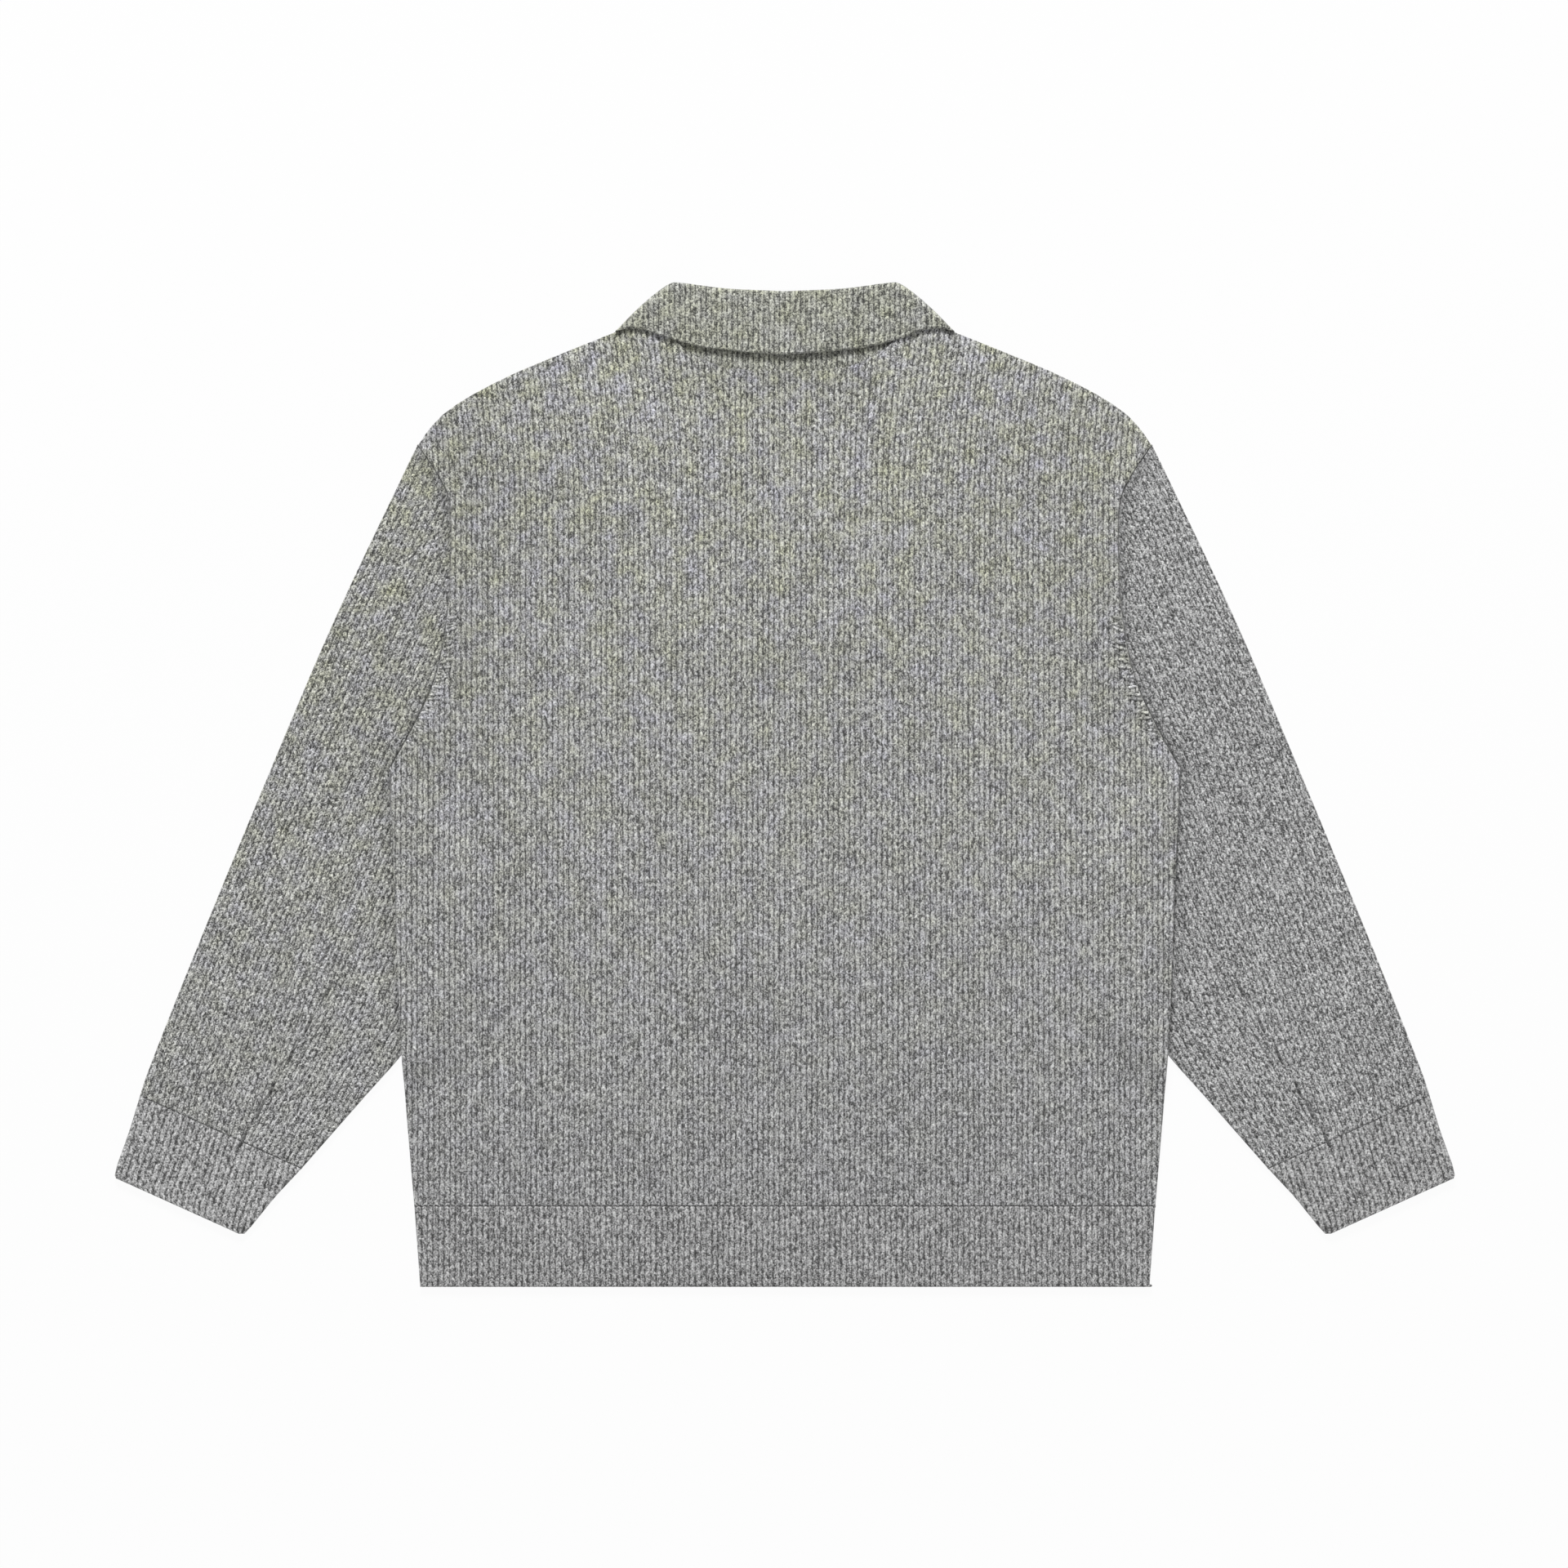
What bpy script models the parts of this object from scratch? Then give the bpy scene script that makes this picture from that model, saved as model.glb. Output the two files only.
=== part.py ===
"""Shawl collar pullover in a ribbed melange knit, laid flat with its back up.

X runs across the garment, Y from the hem to the collar and Z up from the surface that it
lies on. Lengths are in millimetres until a mesh is made, where MM turns them into metres.
The garment is symmetric, so each outline is given for its +X half, as (x, y) points.
"""

import math

import bmesh
import bpy

MM = 0.001

# The knit: a wall with a plain inside, whose outer side is raised into ribs.
WALL = 2.2
RIB_RELIEF = 0.85
SEAM_GAP = 0.3
TUCK_GAP = 0.6
BODY_PITCH = 3.96
HEM_PITCH = 4.1
SLEEVE_PITCH = 4.0
CUFF_PITCH = 4.5
COLLAR_PITCH = 3.84
PLAIN_SPACING = 13.0

# Heights of the layers where nothing is tucked beneath them.
SECOND_LAYER = WALL + SEAM_GAP
TWO_LAYERS = SECOND_LAYER + WALL
# The body lies on the collar's lapels at the neck, and on the tucked sleeves at its sides.
LAPEL_LIFT = WALL + TUCK_GAP
SLEEVE_LIFT = TWO_LAYERS + RIB_RELIEF + TUCK_GAP

# Main sizes of the garment.
HALF_LENGTH = 368.4
HEM_SEAM = -309.0
HEM_HALF_WIDTH = 267.6
NECK_POINT = (93.0, 344.0)
SHOULDER_TIP = (269.4, 249.6)
ARMPIT = (290.1, 11.4)
HEM_CORNER = (271.9, HEM_SEAM)
V_POINT_Y = 126.0
V_HALF_WIDTH = 18.0

SHOULDER = (NECK_POINT, (150.3, 321.6), (207.6, 297.6), (248.7, 273.6), SHOULDER_TIP)
ARMHOLE = (
    SHOULDER_TIP,
    (256.0, 230.0),
    (246.3, 209.4),
    (244.5, 174.6),
    (247.5, 123.6),
    (256.2, 79.8),
    (271.2, 45.6),
    ARMPIT,
)
SIDE = (ARMPIT, (287.4, -34.8), (284.4, -114.6), (280.2, -206.4), HEM_CORNER)
BACK_NECK = (NECK_POINT, (80.0, 325.0), (60.0, 311.0), (34.0, 304.0), (0.0, 303.3))
FRONT_NECK = (NECK_POINT, (84.0, 270.0), (58.0, 195.0), (V_HALF_WIDTH, V_POINT_Y))

# The sleeve: its outer edge is the fold below the shoulder tip. Its inner edge leaves the
# armpit beside the body, passes beneath it and comes out again above the cuff.
CUFF_OUTER = (473.2, -228.0)
CUFF_INNER = (354.5, -281.5)
SLEEVE_OUTER_EDGE = (
    SHOULDER_TIP,
    (281.1, 225.6),
    (332.1, 117.6),
    (383.1, -2.4),
    (432.6, -122.4),
    (465.9, -206.4),
    CUFF_OUTER,
)
BESIDE_BODY = (288.8, -20.0)
SLEEVE_INNER_EDGE = (
    BESIDE_BODY,
    (281.0, -36.0),
    (256.0, -68.0),
    (243.0, -105.0),
    (250.0, -142.0),
    (263.5, -172.0),
    (281.0, -198.0),
    (309.6, -230.4),
    CUFF_INNER,
)
CUFF_OUTER_EDGE = (CUFF_OUTER, (481.2, -254.4), (489.9, -278.4), (492.3, -285.5))
CUFF_INNER_EDGE = (CUFF_INNER, (374.1, -302.4), (391.5, -324.0))
CUFF_END = ((492.3, -285.5), (490.9, -288.4), (400.5, -329.5), (396.0, -329.5), (391.5, -324.0))

# The collar: rolled over at its top edge, with the side folds slanting down to the shoulders.
ROLL_CORNER = (81.0, HALF_LENGTH)
ROLL_EDGE = ((0.0, 361.8), (42.0, 363.7), (70.0, 367.2), ROLL_CORNER)
COLLAR_SIDE = (ROLL_CORNER, (87.0, 366.0), (98.4, 357.6), (111.6, 345.6), (125.1, 331.5))
FALL_EDGE = (
    (125.1, 331.5),
    (114.6, 334.2),
    (101.4, 333.0),
    (87.0, 327.6),
    (64.8, 321.6),
    (43.8, 318.3),
    (0.0, 314.7),
)
LAPEL_EDGE = (
    (125.1, 331.5),
    (141.0, 298.0),
    (149.0, 250.0),
    (134.0, 203.0),
    (100.0, 163.0),
    (55.0, 130.0),
    (22.0, 108.0),
)
LAPEL_ROLL = ((0.0, 150.0), (30.0, 222.0), (ROLL_CORNER[0] - 5.0, 356.0))
SIDE_FOLD_END = 118.0

# The body's rise over what is tucked beneath it: full inside one ellipse, none outside another.
OVER_SLEEVE = {"centre": (292.0, -107.0), "full": (58.0, 97.0), "none": (112.0, 122.0)}
OVER_LAPELS = {"centre": (0.0, 262.0), "full": (156.0, 161.0), "none": (212.0, 208.0)}
SLOPE_ROWS = 3
MIDDLE_ROWS = 10

KNIT_ROUGHNESS = 0.95
SPARE = 6.0
CURVE_STEPS = 3


def clear_scene():
    for obj in list(bpy.data.objects):
        bpy.data.objects.remove(obj, do_unlink=True)


def new_collection(name):
    made = bpy.data.collections.new(name)
    bpy.context.scene.collection.children.link(made)
    return made


def knit_material(name, colour):
    material = bpy.data.materials.new(name)
    material.use_nodes = True
    shader = material.node_tree.nodes["Principled BSDF"]
    shader.inputs["Base Color"].default_value = (*colour, 1.0)
    shader.inputs["Roughness"].default_value = KNIT_ROUGHNESS
    shader.inputs["Metallic"].default_value = 0.0
    return material


def smooth(points, steps=CURVE_STEPS):
    """A soft curve through the points."""
    ends = [points[0], *points, points[-1]]
    curve = []
    for before, start, end, after in zip(ends, ends[1:], ends[2:], ends[3:]):
        for step in range(steps):
            t = step / steps
            curve.append(
                tuple(
                    0.5
                    * (
                        2 * b
                        + (c - a) * t
                        + (2 * a - 5 * b + 4 * c - d) * t**2
                        + (3 * b - a - 3 * c + d) * t**3
                    )
                    for a, b, c, d in zip(before, start, end, after)
                )
            )
    return [*curve, points[-1]]


def moved(points, across, along):
    return [(x + across, y + along) for x, y in points]


def inset(points, distance):
    """The line moved sideways, to the left of its direction where distance is positive."""
    line = []
    for i, (x, y) in enumerate(points):
        before = points[max(i - 1, 0)]
        after = points[min(i + 1, len(points) - 1)]
        run, rise = after[0] - before[0], after[1] - before[1]
        length = math.hypot(run, rise)
        line.append((x - rise / length * distance, y + run / length * distance))
    return line


def both_halves(half):
    """A closed outline from its +X half, which runs between two points on the centre line."""
    return [*half, *[(-x, y) for x, y in reversed(half) if x > SEAM_GAP]]


def mirrored(points, side):
    return [(side * x, y) for x, y in points]


def strip(line, width):
    """The outline of a strip that has the line as one of its long sides."""
    return [*line, *reversed(inset(line, width))]


def object_from(mesh_data, name, home):
    bmesh.ops.recalc_face_normals(mesh_data, faces=mesh_data.faces)
    mesh = bpy.data.meshes.new(name)
    mesh_data.to_mesh(mesh)
    mesh_data.free()
    made = bpy.data.objects.new(name, mesh)
    home.objects.link(made)
    return made


def guide(name, home):
    """Marks a shape that only cuts or joins another one."""
    home.hide_render = True
    shape = home.objects[name]
    shape.hide_render = True
    shape.display_type = "WIRE"
    return shape


def prism(name, outline, low, high, home):
    """A flat outline made solid between two heights."""
    shape = bmesh.new()
    face = shape.faces.new([shape.verts.new((x * MM, y * MM, low * MM)) for x, y in outline])
    extruded = bmesh.ops.extrude_face_region(shape, geom=[face])["geom"]
    top = [item for item in extruded if isinstance(item, bmesh.types.BMVert)]
    bmesh.ops.translate(shape, verts=top, vec=(0.0, 0.0, (high - low) * MM))
    object_from(shape, name, home)
    return guide(name, home)


def no_lift(_x, _y):
    return 0.0


def rib_lines(low, high, pitch):
    """Lines across the ribs from low to high: valleys at whole pitches, tops between them."""
    first = math.floor(2 * low / pitch)
    last = math.ceil(2 * high / pitch)
    return [(k * pitch / 2, k % 2 * RIB_RELIEF) for k in range(first, last + 1)]


def plain_lines(low, high):
    """Evenly spaced lines from low to high, with no relief."""
    count = math.ceil((high - low) / PLAIN_SPACING)
    return [(low + (high - low) * k / count, 0.0) for k in range(count + 1)]


def sheet_side(shape, lines, rows, place):
    """One side of a sheet, as rows of points."""
    last_line, last_row = len(lines) - 1, len(rows) - 1
    grid = bmesh.ops.create_grid(shape, x_segments=last_line, y_segments=last_row, size=1.0)
    ordered = [[None] * len(lines) for _ in rows]
    for point in grid["verts"]:
        i = round((point.co.x + 1) / 2 * last_line)
        j = round((point.co.y + 1) / 2 * last_row)
        point.co = place(lines[i][0], rows[j], lines[i][1])
        ordered[j][i] = point
    return ordered


def knit_sheet(name, lines, rows, low, high, home, turn=0.0, side=1, lift=no_lift):
    """A closed sheet with a plain underside, raised along the lines on top, turned about Z."""
    cos, sin = math.cos(turn), math.sin(turn)

    def placed(x, y, height):
        z = height + lift(x, y)
        return [length * MM for length in (side * (x * cos - y * sin), x * sin + y * cos, z)]

    shape = bmesh.new()
    plain = plain_lines(lines[0][0], lines[-1][0])
    under = sheet_side(shape, plain, rows, lambda x, y, _: placed(x, y, low))
    over = sheet_side(shape, lines, rows, lambda x, y, relief: placed(x, y, high + relief))
    for row in (0, -1):
        shape.faces.new([*under[row], *reversed(over[row])])
    for end in (0, -1):
        shape.faces.new([row[end] for row in under] + [row[end] for row in reversed(over)])
    bmesh.ops.triangulate(shape, faces=list(shape.faces))
    return object_from(shape, name, home)


def combine(target, other, operation):
    modifier = target.modifiers.new(f"{operation.title()} {other.name}", "BOOLEAN")
    modifier.operation = operation
    modifier.solver = "EXACT"
    modifier.object = other


def rise(x, y, over):
    """1 inside the full ellipse, 0 outside the other one, and a soft slope between them."""
    across, along = x - over["centre"][0], y - over["centre"][1]
    past_full = math.hypot(across / over["full"][0], along / over["full"][1]) - 1
    short_of_none = 1 - math.hypot(across / over["none"][0], along / over["none"][1])
    if past_full <= 0:
        return 1.0
    if short_of_none <= 0:
        return 0.0
    t = short_of_none / (past_full + short_of_none)
    return t * t * (3 - 2 * t)


def body_lift(x, y):
    """How far the body's panels are raised over the lapels and the tucked sleeves."""
    return SLEEVE_LIFT * rise(abs(x), y, OVER_SLEEVE) + LAPEL_LIFT * rise(abs(x), y, OVER_LAPELS)


def spaced(start, end, count):
    return [start + (end - start) * step / count for step in range(count)]


def body_rows():
    """Rows across the body, closest where it rises over what is tucked beneath it."""
    rows = [HEM_SEAM - SPARE]
    for over in (OVER_SLEEVE, OVER_LAPELS):
        full, none = over["full"][1], over["none"][1]
        marks = [over["centre"][1] + reach for reach in (-none, -full, full, none)]
        for start, end, count in zip(marks, marks[1:], (SLOPE_ROWS, MIDDLE_ROWS, SLOPE_ROWS)):
            rows += spaced(start, end, count)
        rows.append(marks[-1])
    return [row for row in rows if row < HALF_LENGTH] + [HALF_LENGTH]


def body_outline(neck):
    """From the middle of the hem seam, up the side, round the armhole and over the shoulder."""
    hem = HEM_SEAM + SEAM_GAP / 2
    side = [(x, max(y, hem)) for x, y in reversed(smooth(SIDE))]
    armhole = list(reversed(smooth(ARMHOLE)))
    shoulder = list(reversed(smooth(SHOULDER)))
    half = [(0.0, hem), *side, *armhole[1:], *shoulder[1:], *neck[1:]]
    return both_halves(half)


def make_back(parts, guides):
    lines = rib_lines(-ARMPIT[0], ARMPIT[0], BODY_PITCH)
    back = knit_sheet(
        "back", lines, body_rows(), SECOND_LAYER, TWO_LAYERS, parts, lift=body_lift
    )
    outline = body_outline(smooth(BACK_NECK))
    combine(back, prism("back_outline", outline, -SPARE, 4 * SPARE, guides), "INTERSECT")
    return back


def make_front(parts, guides):
    reach = rib_lines(-ARMPIT[0], ARMPIT[0], BODY_PITCH)[-1][0]
    lines = plain_lines(-reach, reach)
    front = knit_sheet("front", lines, body_rows(), 0.0, WALL, parts, lift=body_lift)
    neck = [*smooth(FRONT_NECK), (0.0, V_POINT_Y)]
    outline = body_outline(neck)
    combine(front, prism("front_outline", outline, -SPARE, 4 * SPARE, guides), "INTERSECT")
    return front


def make_hem_band(parts, guides):
    lines = rib_lines(-HEM_CORNER[0], HEM_CORNER[0], HEM_PITCH)
    rows = [-HALF_LENGTH - SPARE, HEM_SEAM + SPARE]
    band = knit_sheet("hem_band", lines, rows, 0.0, TWO_LAYERS, parts)
    top = HEM_SEAM - SEAM_GAP / 2
    half = [(0.0, -HALF_LENGTH), (HEM_HALF_WIDTH, -HALF_LENGTH), (HEM_CORNER[0], top), (0.0, top)]
    combine(band, prism("hem_outline", both_halves(half), -SPARE, 2 * SPARE, guides), "INTERSECT")
    edge = inset(half[1:3], WALL)
    hollow = [(0.0, edge[0][1] - SPARE), (edge[0][0], edge[0][1] - SPARE)]
    hollow += [(edge[1][0], edge[1][1] + SPARE), (0.0, edge[1][1] + SPARE)]
    cutter = prism("hem_hollow", both_halves(hollow), WALL, SECOND_LAYER, guides)
    combine(band, cutter, "DIFFERENCE")
    return band


def sleeve_turn():
    """The lean of the sleeve's outer edge, which its ribs share."""
    run = CUFF_OUTER[0] - SHOULDER_TIP[0]
    return math.atan2(run, SHOULDER_TIP[1] - CUFF_OUTER[1])


def turned_back(points, turn):
    cos, sin = math.cos(turn), math.sin(turn)
    return [(x * cos + y * sin, y * cos - x * sin) for x, y in points]


def arm_piece(name, pitch, outline, hollow, side, parts, guides):
    """A flattened tube of the arm: a ribbed sheet cut to its outline and hollowed through."""
    turn = sleeve_turn()
    local = turned_back(outline, turn)
    across = [x for x, _ in local]
    along = [y for _, y in local]
    lines = rib_lines(min(across) - pitch, max(across) + pitch, pitch)
    rows = [min(along) - SPARE, max(along) + SPARE]
    piece = knit_sheet(name, lines, rows, 0.0, TWO_LAYERS, parts, turn=turn, side=side)
    shape = prism(f"{name}_outline", mirrored(outline, side), -SPARE, 2 * SPARE, guides)
    combine(piece, shape, "INTERSECT")
    cutter = prism(f"{name}_hollow", mirrored(hollow, side), WALL, SECOND_LAYER, guides)
    combine(piece, cutter, "DIFFERENCE")
    return piece


def make_sleeve(name, side, parts, guides):
    outer = smooth(SLEEVE_OUTER_EDGE)
    inner = smooth(SLEEVE_INNER_EDGE)
    clear = SEAM_GAP * math.sqrt(2)
    armhole = moved(smooth(ARMHOLE), clear, 0.0)
    outline = [*armhole, *inner, *reversed(outer[1:])]
    opened = [(x - SPARE, y) for x, y in armhole[1:]]
    end = moved(outer[-1:], -WALL, -SPARE) + moved(inner[-1:], WALL, -SPARE)
    hollow = [*opened, *inset(inner, WALL), end[1], end[0], *reversed(inset(outer, -WALL)[1:])]
    return arm_piece(name, SLEEVE_PITCH, outline, hollow, side, parts, guides)


def make_cuff(name, side, parts, guides):
    turn = sleeve_turn()
    step = (SEAM_GAP * math.sin(turn), -SEAM_GAP * math.cos(turn))
    outer = moved(CUFF_OUTER_EDGE[:1], *step) + list(CUFF_OUTER_EDGE[1:])
    inner = moved(CUFF_INNER_EDGE[:1], *step) + list(CUFF_INNER_EDGE[1:])
    outline = [*outer, *CUFF_END[1:-1], *reversed(inner)]
    ends = [(SPARE * math.sin(turn), -SPARE * math.cos(turn))]
    ends.append((-ends[0][0], -ends[0][1]))
    walls = (inset(outer, -WALL), inset(inner, WALL))
    outer_wall, inner_wall = (
        [*moved(wall[:1], *ends[1]), *wall, *moved(wall[-1:], *ends[0])] for wall in walls
    )
    hollow = [*outer_wall, *reversed(inner_wall)]
    return arm_piece(name, CUFF_PITCH, outline, hollow, side, parts, guides)


def make_collar(parts, guides):
    """Four layers that are joined along the roll and at the sides, open at the neck."""
    stand_low = LAPEL_LIFT + SECOND_LAYER
    fall_low = stand_low + WALL + RIB_RELIEF + SEAM_GAP
    fall_high = fall_low + WALL
    lines = rib_lines(-LAPEL_EDGE[2][0], LAPEL_EDGE[2][0], COLLAR_PITCH)
    rows = [FALL_EDGE[-1][1] - SPARE, HALF_LENGTH + SPARE]
    collar = knit_sheet("collar", lines, rows, fall_low, fall_high, parts)
    roll = smooth(ROLL_EDGE)
    side = smooth(COLLAR_SIDE)
    fall = [*reversed(smooth(FALL_EDGE)), *list(reversed(side))[1:], *list(reversed(roll))[1:]]
    shape = prism("fall_outline", both_halves(fall), fall_low - SPARE, fall_high + SPARE, guides)
    combine(collar, shape, "INTERSECT")

    clear = -SEAM_GAP
    back_neck = inset(smooth(BACK_NECK), clear)
    front_neck = inset(smooth(FRONT_NECK), clear)
    back_stand = [*reversed(back_neck), side[1], *reversed(roll)]
    back_stand[0] = (0.0, back_stand[0][1])
    foot = V_POINT_Y + SEAM_GAP
    lapel_roll = list(reversed(smooth(LAPEL_ROLL)))
    front_stand = [(0.0, foot), (V_HALF_WIDTH - SEAM_GAP, foot)]
    front_stand += [*list(reversed(front_neck))[1:], side[1], *lapel_roll]
    lapel_end = LAPEL_EDGE[-1]
    lapel = [(0.0, lapel_end[1]), *reversed(smooth(LAPEL_EDGE)), *list(reversed(side))[1:]]
    lapel += lapel_roll
    shapes = [
        ("back_stand", both_halves(back_stand), stand_low, stand_low + WALL),
        ("front_stand", both_halves(front_stand), LAPEL_LIFT, LAPEL_LIFT + WALL),
        ("lapels", both_halves(lapel), 0.0, WALL),
        ("roll", both_halves([*inset(roll, -WALL), *reversed(roll)]), stand_low, fall_high),
    ]
    fold = [point for point in side if point[0] < SIDE_FOLD_END]
    stand_fold = [side[1], NECK_POINT]
    folds = (
        ("side_fold", strip(fold, -WALL), 0.0, fall_high),
        ("lapel_roll", strip(lapel_roll[:-1], WALL), 0.0, LAPEL_LIFT + WALL),
        ("stand_fold", strip(stand_fold, -WALL), LAPEL_LIFT, stand_low + WALL),
    )
    for name, outline, low, high in folds:
        shapes.append((f"{name}_right", outline, low, high))
        shapes.append((f"{name}_left", mirrored(outline, -1), low, high))
    for name, outline, low, high in shapes:
        combine(collar, prism(name, outline, low, high, guides), "UNION")
    return collar


def main():
    clear_scene()
    parts = new_collection("shawl_collar_pullover")
    guides = new_collection("guides")
    made = (
        (make_back(parts, guides), (0.31, 0.315, 0.295)),
        (make_front(parts, guides), (0.30, 0.305, 0.29)),
        (make_hem_band(parts, guides), (0.27, 0.27, 0.27)),
        (make_sleeve("sleeve_right", 1, parts, guides), (0.285, 0.29, 0.28)),
        (make_sleeve("sleeve_left", -1, parts, guides), (0.285, 0.29, 0.28)),
        (make_cuff("cuff_right", 1, parts, guides), (0.28, 0.28, 0.28)),
        (make_cuff("cuff_left", -1, parts, guides), (0.28, 0.28, 0.28)),
        (make_collar(parts, guides), (0.31, 0.315, 0.28)),
    )
    for piece, colour in made:
        piece.data.materials.append(knit_material(f"{piece.name}_knit", colour))


main()
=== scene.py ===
"""The looks of a shawl collar pullover in grey melange rib knit, laid flat with its back up.

X runs across the garment, Y from the hem to the collar and Z up from the surface that it
lies on. Lengths are in millimetres until a mesh is made, where MM turns them into metres.
The outlines are those of the frame's solids, given for the garment's +X half.
"""

import math

import bmesh
import bpy
import mathutils
import numpy as np
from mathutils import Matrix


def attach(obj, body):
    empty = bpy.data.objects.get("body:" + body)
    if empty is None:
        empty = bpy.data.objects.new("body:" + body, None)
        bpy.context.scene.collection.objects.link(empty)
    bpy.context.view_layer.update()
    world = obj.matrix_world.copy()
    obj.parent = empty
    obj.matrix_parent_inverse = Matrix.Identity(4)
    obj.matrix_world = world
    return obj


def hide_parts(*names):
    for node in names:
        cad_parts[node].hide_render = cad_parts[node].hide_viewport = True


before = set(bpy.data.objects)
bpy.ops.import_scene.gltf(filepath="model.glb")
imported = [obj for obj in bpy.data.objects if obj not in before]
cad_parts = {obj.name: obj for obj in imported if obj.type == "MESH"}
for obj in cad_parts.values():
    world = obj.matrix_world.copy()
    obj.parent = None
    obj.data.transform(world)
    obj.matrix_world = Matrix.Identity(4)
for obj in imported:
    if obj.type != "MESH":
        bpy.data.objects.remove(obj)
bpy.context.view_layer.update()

MM = 0.001

# The knit's wall and ribs, as in the solids. The power sets how narrow the valleys are.
WALL = 2.2
RIB_RELIEF = 0.85
VALLEY_POWER = 6
SEAM_GAP = 0.3
TUCK_GAP = 0.6
BODY_PITCH = 3.96
HEM_PITCH = 4.1
SLEEVE_PITCH = 4.0
CUFF_PITCH = 4.5
COLLAR_PITCH = 3.84
STITCH_HEIGHT = 2.3

# How finely the mesh follows the ribs, the rows, the outlines and a face without ribs.
COLUMNS_PER_RIB = 6
ROW_SPACING = 7.5
ROW_DECIMALS = 4
CURVE_STEPS = 10
PLAIN_SPACING = 9.0
# Points of a row that are closer than this are one, and a divisor is never smaller than TINY.
ONE_PLACE = 1e-6
TINY = 1e-9
# The least room between two edges that meet.
HAIR = 0.01

SECOND_LAYER = WALL + SEAM_GAP
TWO_LAYERS = SECOND_LAYER + WALL
LAPEL_LIFT = WALL + TUCK_GAP
SLEEVE_LIFT = TWO_LAYERS + RIB_RELIEF + TUCK_GAP
STAND_LOW = LAPEL_LIFT + SECOND_LAYER
FALL_LOW = STAND_LOW + WALL + RIB_RELIEF + SEAM_GAP

HALF_LENGTH = 368.4
HEM_SEAM = -309.0
HEM_HALF_WIDTH = 267.6
NECK_POINT = (93.0, 344.0)
SHOULDER_TIP = (269.4, 249.6)
ARMPIT = (290.1, 11.4)
HEM_CORNER = (271.9, HEM_SEAM)
V_POINT_Y = 126.0
V_HALF_WIDTH = 18.0

SHOULDER = (NECK_POINT, (150.3, 321.6), (207.6, 297.6), (248.7, 273.6), SHOULDER_TIP)
ARMHOLE = (
    SHOULDER_TIP, (256.0, 230.0), (246.3, 209.4), (244.5, 174.6), (247.5, 123.6), (256.2, 79.8),
    (271.2, 45.6), ARMPIT,
)
SIDE = (ARMPIT, (287.4, -34.8), (284.4, -114.6), (280.2, -206.4), HEM_CORNER)
BACK_NECK = (NECK_POINT, (80.0, 325.0), (60.0, 311.0), (34.0, 304.0), (0.0, 303.3))
FRONT_NECK = (NECK_POINT, (84.0, 270.0), (58.0, 195.0), (V_HALF_WIDTH, V_POINT_Y))
# Extra rows just above the foot of a neckline, where its edge runs almost level.
NECK_ROWS = (0.05, 0.15, 0.5, 1.2, 2.5, 4.5)
# How far short of the neck point, the shoulder's tip and the collar's and lapels' ends the
# mesh stops.
NECK_POINT_CUT = 0.2
SHOULDER_CUT = 0.6
COLLAR_CUT = 0.5
LAPEL_CUT = 1.0

CUFF_OUTER = (473.2, -228.0)
CUFF_INNER = (354.5, -281.5)
SLEEVE_OUTER_EDGE = (
    SHOULDER_TIP, (281.1, 225.6), (332.1, 117.6), (383.1, -2.4), (432.6, -122.4),
    (465.9, -206.4), CUFF_OUTER,
)
BESIDE_BODY = (288.8, -20.0)
SLEEVE_INNER_EDGE = (
    BESIDE_BODY, (281.0, -36.0), (256.0, -68.0), (243.0, -105.0), (250.0, -142.0),
    (263.5, -172.0), (281.0, -198.0), (309.6, -230.4), CUFF_INNER,
)
CUFF_OUTER_EDGE = (CUFF_OUTER, (481.2, -254.4), (489.9, -278.4), (492.3, -285.5))
CUFF_INNER_EDGE = (CUFF_INNER, (374.1, -302.4), (391.5, -324.0))
CUFF_END = ((492.3, -285.5), (490.9, -288.4), (400.5, -329.5), (396.0, -329.5), (391.5, -324.0))
# Where ribs of the sleeve are narrowed away, from the elbow to the cuff.
NARROWING = ((334.2, -149.4), (397.2, -259.8))
NARROWING_STEPS = (0.0, 0.24, 0.45, 0.67, 0.81, 1.0)
RIB_LEAN = math.radians(22)
MARK_SIZE = (14.0, 2.6, 1.2)
MARK_SHADE = 0.3

ROLL_CORNER = (81.0, HALF_LENGTH)
ROLL_EDGE = ((0.0, 361.8), (42.0, 363.7), (70.0, 367.2), ROLL_CORNER)
COLLAR_SIDE = (ROLL_CORNER, (87.0, 366.0), (98.4, 357.6), (111.6, 345.6), (125.1, 331.5))
FALL_EDGE = (
    (125.1, 331.5), (114.6, 334.2), (101.4, 333.0), (87.0, 327.6), (64.8, 321.6), (43.8, 318.3),
    (0.0, 314.7),
)
LAPEL_EDGE = (
    (125.1, 331.5), (141.0, 298.0), (149.0, 250.0), (134.0, 203.0), (100.0, 163.0), (55.0, 130.0),
    (22.0, 108.0),
)
LAPEL_ROLL = ((0.0, 150.0), (30.0, 222.0), (76.0, 356.0))
# Where the collar's stand comes down to the neck point.
STAND_END = (77.0, NECK_POINT[0])
# The least depth of the collar's fold, and how far the lapels' folds stay from the middle.
LEAST_FOLD = 1.0
LAPEL_CLEARANCE = 0.2

OVER_SLEEVE = {"centre": (292.0, -107.0), "full": (58.0, 97.0), "none": (112.0, 122.0)}
OVER_LAPELS = {"centre": (0.0, 262.0), "full": (156.0, 161.0), "none": (212.0, 208.0)}

# The ribs lean out beside the neck: above this height, by LEAN after the first LEAN_RISE, and
# fully only from the second of these distances from the middle on.
LEAN_START = 200.0
LEAN = 6.0
LEAN_RISE = 100.0
LEAN_FADE = (15.0, 95.0)

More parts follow.
